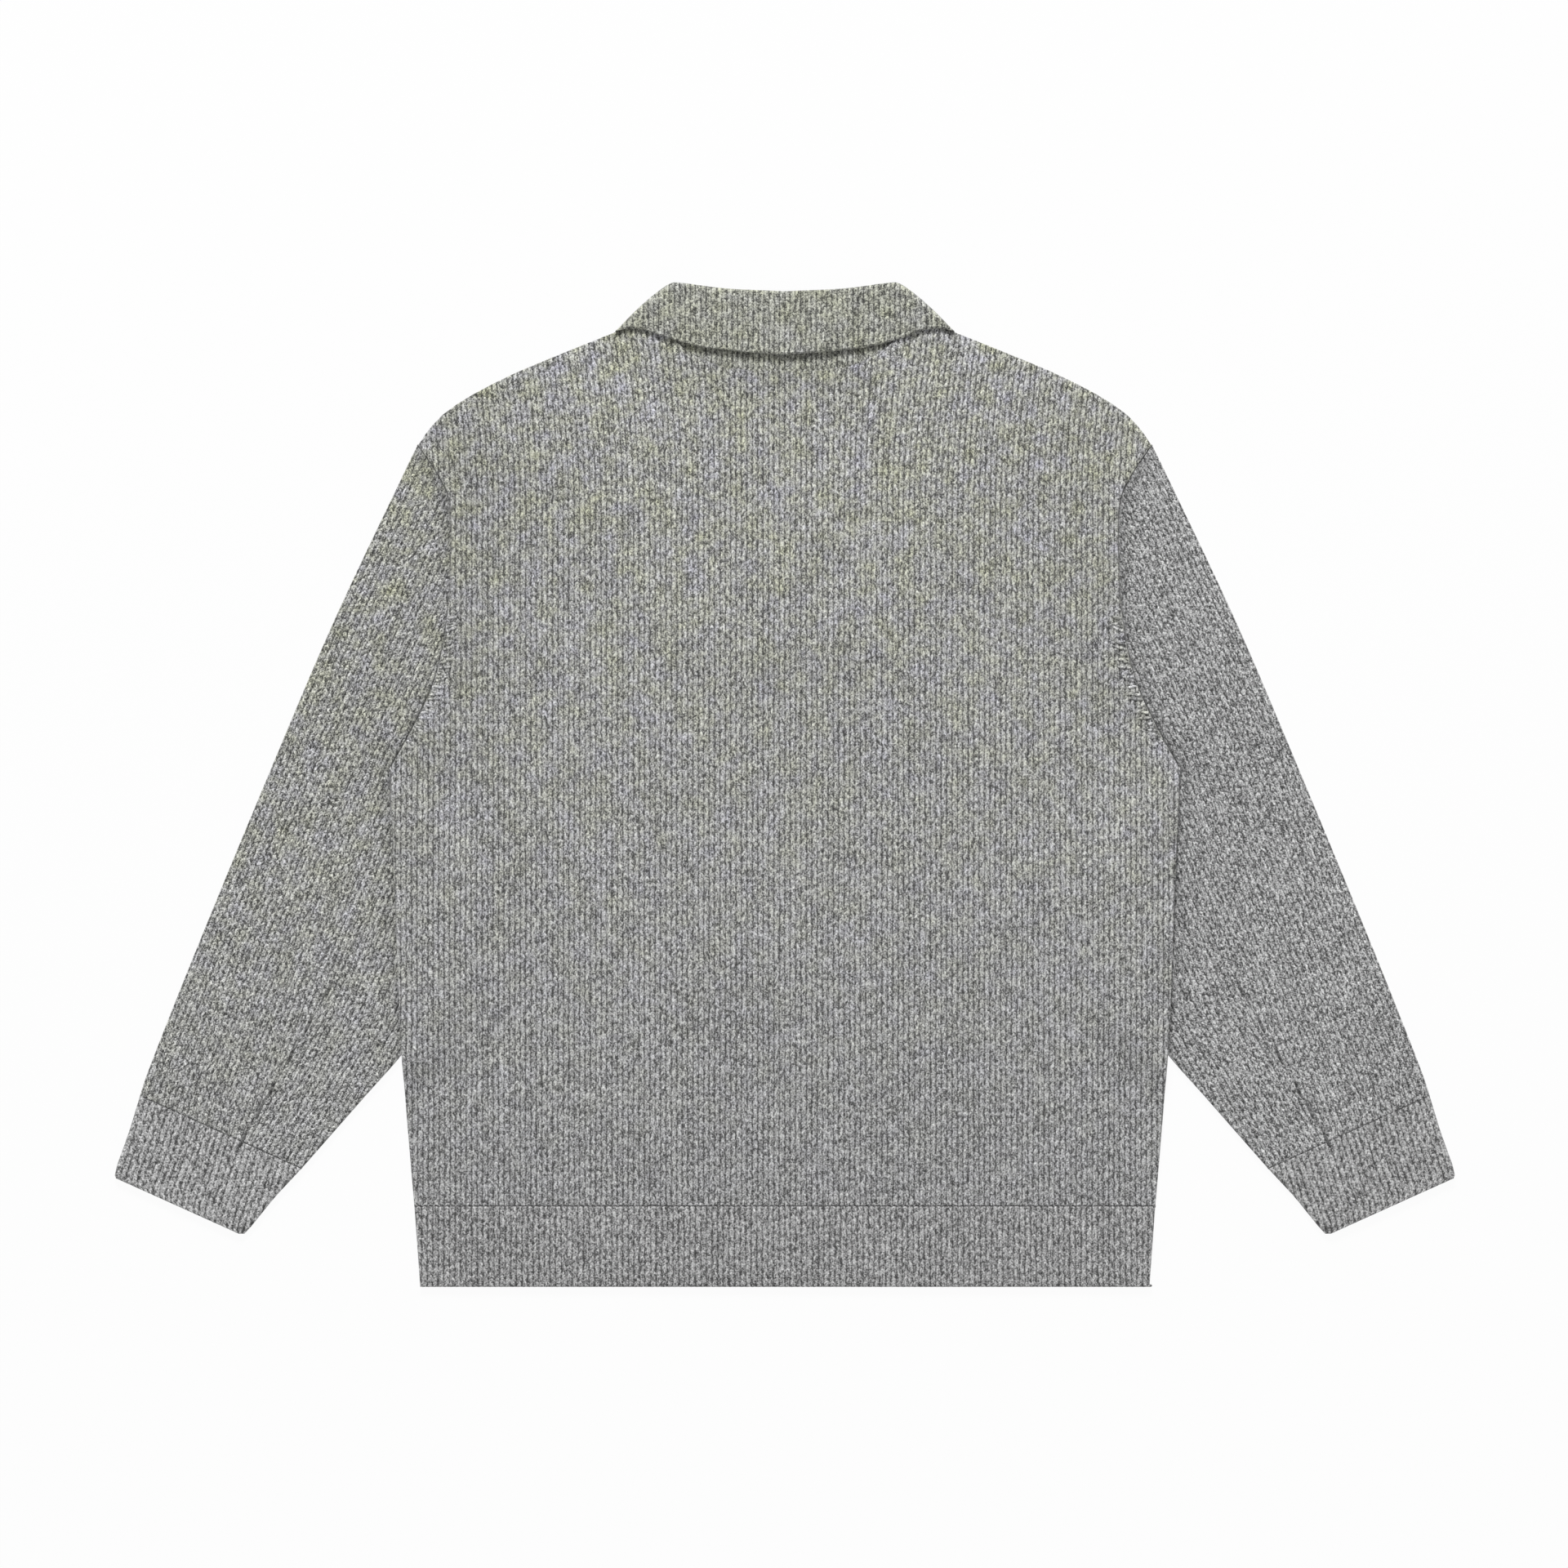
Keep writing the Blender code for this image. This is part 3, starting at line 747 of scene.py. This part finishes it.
def sleeve(side):
    """Ribs follow the outer edge, and those inside the line of narrowings run along that line."""
    turn = seam_turn()
    outer = turned(curve(SLEEVE_OUTER_EDGE), turn)
    armhole = curve(ARMHOLE) + [SEAM_GAP * math.sqrt(2), 0.0]
    inner = turned(np.vstack([armhole, curve(SLEEVE_INNER_EDGE)]), turn)
    rows = edge_rows([outer[-1, 1] + SEAM_GAP / 2, outer[0, 1] - SHOULDER_CUT], ROW_SPACING)
    low, high = reading(inner, rows), reading(outer, rows)
    first, last = turned(NARROWING, turn)
    first_reach = reading(outer, first[1]) - first[0]
    phase = math.ceil(first_reach / SLEEVE_PITCH) - first_reach / SLEEVE_PITCH

    def border_at(y):
        above = reading(outer, y) - first_reach
        along = first[0] + (last[0] - first[0]) * (y - first[1]) / (last[1] - first[1])
        return np.where(y > first[1], above, along)

    def rib_of(x, y):
        border = border_at(y)
        outside = reading(outer, y) - x
        return phase + np.where(x > border, outside, first_reach + border - x) / SLEEVE_PITCH

    u = np.arange(-phase, (high - low).max() / SLEEVE_PITCH + 1, 1 / COLUMNS_PER_RIB) * SLEEVE_PITCH
    border = border_at(rows)[:, None]
    outside = np.maximum(high[:, None] - u, border)
    columns = np.hstack([(border - u[u >= 0])[:, ::-1], outside[:, ::-1]])

    def creases(x, y):
        return creased(np.abs(x), y, SLEEVE_CREASES)

    def shaded(x, y):
        shade = 1 + (ARM_TONE[side] - 1) * soft_step(y, *ARM_TONE_FADE)
        below = SEAM_BELOW[side]
        held = below + (1 - below) * soft_step(y, *SEAM_CHANGE)
        for line, (depth, reach), share in (
            (ARMHOLE, SEAM_SHADOW, held), (SIDE, SIDE_SHADOW, 1.0),
        ):
            shade -= depth * share * bell(distance(x, y, curve(line)), reach)
        return shade

    lines = (inner, outer)
    radii = (SEAM_RADIUS, EDGE_RADIUS)
    cloth = tube(rows, low, high, columns, rib_of, lines, turn, side, creases, shaded, radii)
    return cloth, 2 * area_of(np.vstack([inner[::-1], outer]))


def cuff(side):
    turn = seam_turn()
    outer = turned([*CUFF_OUTER_EDGE, CUFF_END[1]], turn)
    inner = turned([*CUFF_INNER_EDGE, *CUFF_END[-2:1:-1]], turn)
    rows = edge_rows([inner[:, 1].min(), outer[0, 1] - SEAM_GAP / 2], ROW_SPACING)
    low, high = reading(inner, rows), reading(outer, rows)
    u = np.arange(0, (high - low).max() + CUFF_PITCH, CUFF_PITCH / COLUMNS_PER_RIB)
    columns = (high[:, None] - u)[:, ::-1]

    def rib_of(x, y):
        return (reading(outer, y) - x) / CUFF_PITCH

    def shaded(x, y):
        rim = bell(distance(x, y, np.array(CUFF_END)), RIM_REACH)
        return CUFF_TONE[side] + RIM_LIGHT * rim

    lines = (inner, outer)
    radii = (EDGE_RADIUS, SEAM_RADIUS)
    cloth = tube(rows, low, high, columns, rib_of, lines, turn, side, none, shaded, radii)
    return cloth, 2 * area_of(np.vstack([inner[::-1], outer]))


def hem_band():
    edge = np.array([HEM_CORNER, (HEM_HALF_WIDTH, -HALF_LENGTH)])
    rows = edge_rows([-HALF_LENGTH, HEM_SEAM - SEAM_GAP / 2], ROW_SPACING)
    high = reading(edge, rows)
    u = np.arange(0, high.max() + HEM_PITCH, HEM_PITCH / COLUMNS_PER_RIB)
    columns = np.repeat(np.hstack([-u[:0:-1], u])[None], len(rows), axis=0)

    def rib_of(x, _y):
        return x / HEM_PITCH

    lines = (edge, edge * [-1, 1])
    radii = (EDGE_RADIUS, SEAM_RADIUS)
    cloth = tube(rows, -high, high, columns, rib_of, lines, 0.0, 1, none, ones, radii)
    return cloth, 4 * area_of([(0.0, HEM_SEAM), *edge, (0.0, -HALF_LENGTH)])


def rolled(cloth, stations, spans, fall_low, stand_low, pitch, place, curl=0.0, shadow=none):
    """A strip that is folded over: a fall that rolls over into a stand beneath it.

    Each station has a section that runs from the fall's edge to the roll and back along the
    stand to its end. spans are those three positions, and place puts a section's point. curl
    lifts the fall's edge, and shadow darkens the stand.
    Gives the cloth's flat area.
    """
    start, turn, end = spans
    fall_low = np.full_like(stations, fall_low)
    reach = (fall_low + WALL - stand_low) / 2
    round_by = ROLL_DEPTH[0] * reach + ROLL_DEPTH[1]
    narrowest = np.minimum(turn - start, turn - end)
    room = np.minimum(1, narrowest / (EDGE_OFFSETS[-1] + round_by + WALL + ROLL_SLACK))
    relief = rib_relief(stations / pitch) if pitch else np.zeros_like(stations)
    steps = np.linspace(0, 1, ROLL_ROWS)
    angles = np.linspace(90, -90, ROLL_STEPS + 1)[1:-1] * math.pi / 180
    sheets = []
    for outside in (True, False):
        tuck = 0.0 if outside else WALL
        bend = np.maximum(round_by - tuck, INNER_ROLL) * room
        apex = turn - tuck * room
        fall_z = fall_low + (WALL + relief if outside else 0)
        stand_z = stand_low + (0 if outside else WALL + relief)
        rows = []
        sections = (
            (start, fall_z, fall_low, outside, EDGE_RADIUS),
            (end, stand_z, stand_low, not outside, SEAM_RADIUS),
        )
        for edge, full, low, upper, radius in sections:
            part = []
            edge_z = low + WALL / 2 + (EDGE_STEP if upper else -EDGE_STEP)
            for offset in EDGE_OFFSETS:
                t = 1 - min(offset / radius, 1)
                edge_height = edge_z + (full - edge_z) * math.sqrt(1 - t * t)
                part.append((edge + offset * room, edge_height))
            first = edge + EDGE_OFFSETS[-1] * room
            for step in steps[1:]:
                part.append((first + (apex - bend - first) * step, full))
            rows.append(part)
        middle, half = (fall_z + stand_z) / 2, (fall_z - stand_z) / 2
        around = [(apex - bend + bend * math.cos(a), middle + half * math.sin(a)) for a in angles]
        path = [*rows[0], *around, *rows[1][::-1]]
        along = np.array([p[0] for p in path])
        height = np.array([p[1] for p in path])
        at = np.repeat(stations[None], len(path), axis=0)
        run = np.cumsum(np.hypot(np.diff(along, axis=0), np.diff(height, axis=0)), axis=0)
        run = np.vstack([np.zeros_like(stations), run])
        on_fall = height > fall_low - SEAM_GAP / 2
        height = height + curl * bell(along - start, CURL_REACH) * on_fall
        knit = np.stack([at / (pitch or COLLAR_PITCH), run / STITCH_HEIGHT], axis=2)
        shade = 1 - shadow(at, along) * ~on_fall
        ids = cloth.layer(place(at, along, height), knit, shade)
        cloth.fill(ids)
        sheets.append((ids, run))
    (outer, outer_run), (inner, _) = sheets
    cloth.wall(outer[0], inner[0])
    cloth.wall(outer[-1], inner[-1])
    cloth.wall(outer[:, 0], inner[:, 0])
    cloth.wall(outer[:, -1], inner[:, -1])
    width = np.abs(np.gradient(stations))
    return float(np.sum(width * (outer_run[-1] - WALL)))


def curl_at(x):
    """How far the fall's edge curls up."""
    flatter = 1 - CURL_LOSS * soft_step(x, *FLAT_SIDE)
    return FALL_CURL * flatter * (1 - soft_step(np.abs(x), *CURL_FADE))


def on_fall_edge(x, _y):
    return FALL_LOW + WALL / 2 + EDGE_STEP + curl_at(x)


def on_rim(x, _y):
    return SECOND_LAYER + WALL / 2 + EDGE_STEP + 0 * x


def chain(cloth, line, spacing, lift, shade):
    """The bound-off stitches along an edge, end to end."""
    seam_stitches(cloth, line, spacing, lift, shade, CHAIN_SIZE, -math.pi / 2)


def collar():
    cloth = Cloth()
    half = np.arange(0, COLLAR_SIDE[-1][0] - COLLAR_CUT, COLLAR_PITCH / COLUMNS_PER_RIB)
    stations = np.hstack([-half[:0:-1], half])
    at = np.abs(stations)
    top = np.vstack([curve(ROLL_EDGE), curve(COLLAR_SIDE)])
    neck = np.vstack([curve(BACK_NECK) + [0.0, SEAM_GAP], [COLLAR_SIDE[-1]]])
    turn = reading(top, at, 0)
    start = np.minimum(reading(curve(FALL_EDGE), at, 0), turn - LEAST_FOLD)
    end = np.minimum(reading(neck, at, 0), turn - LEAST_FOLD)
    stand_low = STAND_LOW * standing(at)

    def upright(s, along, z):
        return np.stack([s, along, z], axis=2)

    spans = (start, turn, end)
    area = rolled(
        cloth, stations, spans, FALL_LOW, stand_low, COLLAR_PITCH, upright,
        curl=curl_at(at), shadow=painted_neck_shade,
    )
    for side in (-1, 1):
        line = (curve(FALL_EDGE[1:]) + [0.0, CHAIN_INSET]) * [side, 1]
        chain(cloth, line, COLLAR_PITCH, on_fall_edge, 1.0)
    edge = np.vstack([curve(LAPEL_EDGE)[::-1], [NECK_POINT]])
    marks = [LAPEL_EDGE[-1][1] + LAPEL_CUT, V_POINT_Y, NECK_POINT[1] - LAPEL_CUT]
    rows = edge_rows(marks, PLAIN_SPACING)
    fold = np.maximum(reading(curve(LAPEL_ROLL), rows), LAPEL_CLEARANCE)
    front = reading(curve(FRONT_NECK), rows) - SEAM_GAP
    past_fold = fold + LEAST_FOLD
    front = np.where(rows > V_POINT_Y, np.maximum(front, past_fold), past_fold)
    thickness = LAPEL_LIFT + WALL
    for side in (-1, 1):

        def sideways(s, along, z, side=side):
            return np.stack([-along * side, s, thickness - z], axis=2)

        spans = (-reading(edge, rows), -fold, -front)
        area += rolled(cloth, rows, spans, LAPEL_LIFT, np.zeros_like(rows), 0, sideways)
    return cloth, area


def seam_stitches(cloth, line, spacing, lift, shade, size, turn=0.0):
    """Stitches across a seam, one each spacing along its line, or turned from there."""
    line = np.asarray(line, float)
    run = np.hypot(*np.diff(line, axis=0).T)
    at = np.concatenate([[0.0], np.cumsum(run)])
    for place in np.arange(spacing / 2, at[-1], spacing):
        x, y = np.interp(place, at, line[:, 0]), np.interp(place, at, line[:, 1])
        span = min(np.searchsorted(at, place), len(run)) - 1
        heading = math.atan2(*(line[span + 1] - line[span])[::-1]) + math.pi / 2 + turn
        z = lift(np.array([[x]]), np.array([[y]]))[0, 0]
        cloth.stitch((x, y, z), (math.cos(heading), math.sin(heading)), size, shade)


def on_top(x, y):
    return TWO_LAYERS + body_lift(x, y)


def in_seam(x, y):
    return SECOND_LAYER + body_lift(x, y)


def beside_sleeve(x, _y):
    return SECOND_LAYER + 0 * x


def beside_neck(x, _y):
    return STAND_LOW + WALL + RIB_RELIEF / 4 + 0 * x


def shaping_loops(cloth, side):
    """Loops of yarn that lie across the edge of the lower armhole, where the body widens."""
    line = curve(ARMHOLE)
    tilt, tilt_swing, tilt_step = LOOP_TILT
    share, share_swing, share_step = LOOP_SHARE
    for count, y in enumerate(np.arange(*LOOP_SPAN, -LOOP_SPACING)):
        x, below, above = (float(reading(line, y + by)) for by in (0.0, -SLOPE_STEP, SLOPE_STEP))
        slope = math.atan2(below - above, 2 * SLOPE_STEP)
        way = slope + tilt + tilt_swing * math.sin(tilt_step * count)
        heading = (side * math.cos(way), math.sin(way))
        reach = LOOP_LENGTH * (share + share_swing * math.sin(share_step * count))
        centre_x = x - (reach / 2 + LOOP_INSET) * math.cos(way)
        centre_y = y - (reach / 2 + LOOP_INSET) * math.sin(way)
        z = on_top(np.array([centre_x]), np.array([centre_y]))[0] + RIB_RELIEF
        shade = LOOP_SHADE + LOOP_CONTRAST[side] * (count % 2 - 0.5)
        cloth.stitch((side * centre_x, centre_y, z), heading, (reach, *LOOP_SIZE), shade)


def knit_nodes(tree):
    """Short ways to add the nodes of the knit's material."""

    def fed(node, values):
        for socket, value in zip(node.inputs, values):
            if isinstance(value, (int, float)):
                socket.default_value = value
            else:
                tree.links.new(value, socket)
        return node.outputs[0]

    def maths(operation, a, b=0.0, c=0.0):
        node = tree.nodes.new("ShaderNodeMath")
        node.operation = operation
        return fed(node, (a, b, c))

    def noise(vector, part):
        """Noise that swings about 0."""
        scale, detail = NOISES[part]
        node = tree.nodes.new("ShaderNodeTexNoise")
        node.inputs["Scale"].default_value = scale
        node.inputs["Detail"].default_value = detail
        node.inputs["Roughness"].default_value = NOISE_ROUGHNESS
        tree.links.new(vector, node.inputs["Vector"])
        return maths("SUBTRACT", node.outputs["Fac"], 0.5)

    def joined(kind, *values):
        return fed(tree.nodes.new(kind), values)

    return maths, noise, joined


def knit_material(name, look):
    """Grey melange rib: columns of slanted stitch legs, and painted shade between the ribs."""
    material = bpy.data.materials.new(name)
    material.use_nodes = True
    tree = material.node_tree
    maths, noise, joined = knit_nodes(tree)
    shader = tree.nodes["Principled BSDF"]
    for socket, value in SURFACE.items():
        shader.inputs[socket].default_value = value

    knit = tree.nodes.new("ShaderNodeUVMap")
    knit.uv_map = "knit"
    split = tree.nodes.new("ShaderNodeSeparateXYZ")
    tree.links.new(knit.outputs[0], split.inputs[0])
    u, v = split.outputs[0], split.outputs[1]
    here = tree.nodes.new("ShaderNodeTexCoord").outputs["Object"]

    wander = maths("MULTIPLY", noise(here, "wander"), WANDER)
    shaken = maths("ADD", u, wander)
    off_middle = maths("ABSOLUTE", maths("SUBTRACT", maths("FRACT", shaken), 0.5))
    slanted = maths("MULTIPLY_ADD", off_middle, LEG_SLANT, v)
    slanted = maths("ADD", slanted, maths("MULTIPLY", wander, WANDER_UP))
    to_gap = maths("MULTIPLY", off_middle, 2.0)
    half_rib = maths("FLOOR", maths("MULTIPLY", shaken, 2.0))
    stitch = joined("ShaderNodeCombineXYZ", half_rib, maths("FLOOR", slanted), look["seed"])
    white = tree.nodes.new("ShaderNodeTexWhiteNoise")
    tree.links.new(stitch, white.inputs["Vector"])
    drawn = [maths("MULTIPLY", at, stretch) for at, stretch in zip((u, v), STREAK_STRETCH)]
    parts = {part: noise(here, part) for part in ("blotch", "fibre", "cloud", "patch")}
    parts |= {
        "yarn": maths("SUBTRACT", white.outputs["Value"], 0.5),
        "streak": noise(joined("ShaderNodeCombineXYZ", *drawn, look["seed"]), "streak"),
        "leg": maths("SINE", maths("MULTIPLY", maths("FRACT", slanted), math.pi)),
        "gap": maths("POWER", to_gap, GAP_POWER),
        "groove": maths("POWER", maths("SUBTRACT", 1.0, to_gap), GROOVE_POWER),
    }

    tone = 1.0
    for part in GRAIN:
        tone = maths("MULTIPLY_ADD", parts[part], look[part], tone)
    tone = maths("SUBTRACT", tone, look["leg"] / 2)
    # Painted shade of the knit's relief: darker gaps, grooves and edges of the stitch legs.
    for part in RELIEF_SHADING:
        tone = maths("MULTIPLY_ADD", parts[part], look[part], tone)
    shade = tree.nodes.new("ShaderNodeAttribute")
    shade.attribute_name = "shade"
    tone = maths("MULTIPLY", maths("MAXIMUM", tone, DARKEST), shade.outputs["Fac"])

    place = tree.nodes.new("ShaderNodeSeparateXYZ")
    tree.links.new(here, place.inputs[0])
    upper = maths("MULTIPLY_ADD", place.outputs[1], 1 / (2 * HALF_LENGTH * MM), 0.5)
    # Painted shade: the tone darkens towards the hem.
    hem_shade = maths("MULTIPLY", maths("MINIMUM", maths("SUBTRACT", upper, 0.5), 0.0), look["hem_shade"])
    tone = maths("MULTIPLY", tone, maths("ADD", hem_shade, 1.0))
    warmth = maths("MULTIPLY_ADD", parts["patch"], look["patch"], 1.0)
    warmth = maths("MULTIPLY", warmth, upper)
    warmth = maths("MULTIPLY", warmth, look["warm"])
    sideways = maths("MULTIPLY_ADD", place.outputs[0], -look["to_left"], 1.0)
    warmth = maths("MULTIPLY", warmth, maths("MAXIMUM", sideways, 0.0))
    tinted = [
        maths("MULTIPLY", tone, maths("MULTIPLY_ADD", warmth, step, level))
        for level, step in zip(look["colour"], WARM_TINT)
    ]
    tree.links.new(joined("ShaderNodeCombineColor", *tinted), shader.inputs["Base Color"])

    height = 0.0
    for part, share in BUMP.items():
        height = maths("MULTIPLY_ADD", parts[part], share, height)
    bump = tree.nodes.new("ShaderNodeBump")
    bump.inputs["Strength"].default_value = BUMP_STRENGTH
    bump.inputs["Distance"].default_value = BUMP_DISTANCE
    tree.links.new(height, bump.inputs["Height"])
    tree.links.new(bump.outputs[0], shader.inputs["Normal"])
    return material


def dress(name, node, slot, made):
    """Puts a piece of cloth in place of its solid."""
    cloth, area = made
    piece = cloth.made(name)
    piece.data.materials.append(knit_material(slot, LOOKS[slot]))
    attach(piece, "root")
    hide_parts(node)


def build_floor():
    bpy.ops.mesh.primitive_plane_add(size=FLOOR_SIZE, location=(0, 0, FLOOR_DROP))
    floor = bpy.context.object
    floor.name = "floor"
    material = bpy.data.materials.new("white_floor")
    material.use_nodes = True
    shader = material.node_tree.nodes["Principled BSDF"]
    shader.inputs["Base Color"].default_value = (FLOOR_TONE, FLOOR_TONE, FLOOR_TONE, 1.0)
    shader.inputs["Specular IOR Level"].default_value = 0.0
    shader.inputs["Roughness"].default_value = 1.0
    shader.inputs["Emission Color"].default_value = WHITE
    shader.inputs["Emission Strength"].default_value = FLOOR_GLOW
    floor.data.materials.append(material)


def build_lights():
    world = bpy.data.worlds.new("soft_sky")
    world.use_nodes = True
    sky = world.node_tree.nodes["Background"]
    sky.inputs["Color"].default_value = WHITE
    sky.inputs["Strength"].default_value = SKY_GLOW
    bpy.context.scene.world = world
    for lamp in LAMPS:
        light = bpy.data.lights.new(lamp["name"], "AREA")
        light.shape = "SQUARE"
        light.size = lamp["size"]
        light.energy = lamp["power"]
        made = bpy.data.objects.new(lamp["name"], light)
        made.location = lamp["at"]
        towards = -mathutils.Vector(lamp["at"])
        made.rotation_euler = towards.to_track_quat("-Z", "Y").to_euler()
        bpy.context.scene.collection.objects.link(made)


def build_camera():
    """Straight down, far enough above that the frame is as wide as the photograph's."""
    lens = bpy.data.cameras.new("camera")
    lens.sensor_width = SENSOR_WIDTH
    lens.lens = SENSOR_WIDTH * CAMERA_HEIGHT / FRAME_WIDTH
    camera = bpy.data.objects.new("camera", lens)
    camera.location = (*FRAME_CENTRE, CAMERA_HEIGHT)
    bpy.context.scene.collection.objects.link(camera)
    bpy.context.scene.camera = camera


def dress_body():
    back = body_panel(BACK_NECK, SECOND_LAYER, True)
    for side in (-1, 1):
        shaping_loops(back[0], side)
        armhole = (curve(ARMHOLE)[:-1] + [SEAM_GAP / 2, 0.0]) * [side, 1]
        # Its core yarn is darker by side, as painted shade in the armhole's seam.
        back[0].core(armhole, in_seam, ARMHOLE_CORE_SHADE[side])
        # Below the armpit the sleeve's edge leaves the body's side, until it is under the body.
        underarm = np.array([ARMPIT, BESIDE_BODY]) + [[SEAM_GAP / 2, 0.0], [-SEAM_GAP, 0.0]]
        back[0].core(underarm * [side, 1], beside_sleeve, ARMHOLE_CORE_SHADE[side])
    for side in (-1, 1):
        neck = curve(BACK_NECK[1:]) * [side, 1]
        back[0].core(neck, beside_neck, NECK_SHADE)
        seam_stitches(back[0], neck, COLLAR_PITCH, beside_neck, NECK_SHADE, NECK_STITCH)
    dress("back_rib_panel", "back", "back_knit", back)
    front = body_panel(FRONT_NECK, 0.0, False)
    dress("front_rib_panel", "front", "front_knit", front)


def dress_hem():
    hem = hem_band()
    seam = [(-HEM_CORNER[0], HEM_SEAM), HEM_CORNER]
    seam_stitches(hem[0], seam, HEM_PITCH, on_top, HEM_STITCH_SHADE, HEM_STITCH)
    hem[0].core(np.array(seam), in_seam, CORE_SHADE)
    rim_y = CHAIN_INSET - HALF_LENGTH
    chain(hem[0], [(-HEM_HALF_WIDTH, rim_y), (HEM_HALF_WIDTH, rim_y)], HEM_PITCH, on_rim, 1.0)
    dress("hem_rib_band", "hem_band", "hem_knit", hem)


def dress_sleeve(word, side):
    arm = sleeve(side)
    first, last = np.array(NARROWING) * [side, 1]
    heading = (side * math.sin(RIB_LEAN), -math.cos(RIB_LEAN))
    for step in NARROWING_STEPS:
        x, y = first + step * (last - first)
        crease = creased(np.array([abs(x)]), np.array([y]), SLEEVE_CREASES)[0]
        z = TWO_LAYERS + RIB_RELIEF + crease
        arm[0].stitch((x, y, z), heading, MARK_SIZE, MARK_SHADE)
    dress(f"sleeve_rib_{word}", f"sleeve_{word}", "sleeve_knit", arm)


def dress_cuff(word, side):
    end = cuff(side)
    seam = np.array([CUFF_INNER, CUFF_OUTER]) * [side, 1]
    seam_stitches(end[0], seam, CUFF_PITCH, on_top, CUFF_STITCH_SHADE, CUFF_STITCH)
    end[0].core(seam, in_seam, CORE_SHADE)
    rim = (np.array(CUFF_END[1:3]) + np.multiply(CUFF_INWARDS, CHAIN_INSET)) * [side, 1]
    chain(end[0], rim, CUFF_PITCH, on_rim, 1 + RIM_LIGHT)
    dress(f"cuff_rib_{word}", f"cuff_{word}", "cuff_knit", end)


def dress_collar():
    dress("shawl_collar_rib", "collar", "collar_knit", collar())


bpy.context.scene.view_settings.view_transform = "Standard"
dress_body()
dress_hem()
for word, side in (("left", -1), ("right", 1)):
    dress_sleeve(word, side)
    dress_cuff(word, side)
dress_collar()
build_floor()
build_lights()
build_camera()
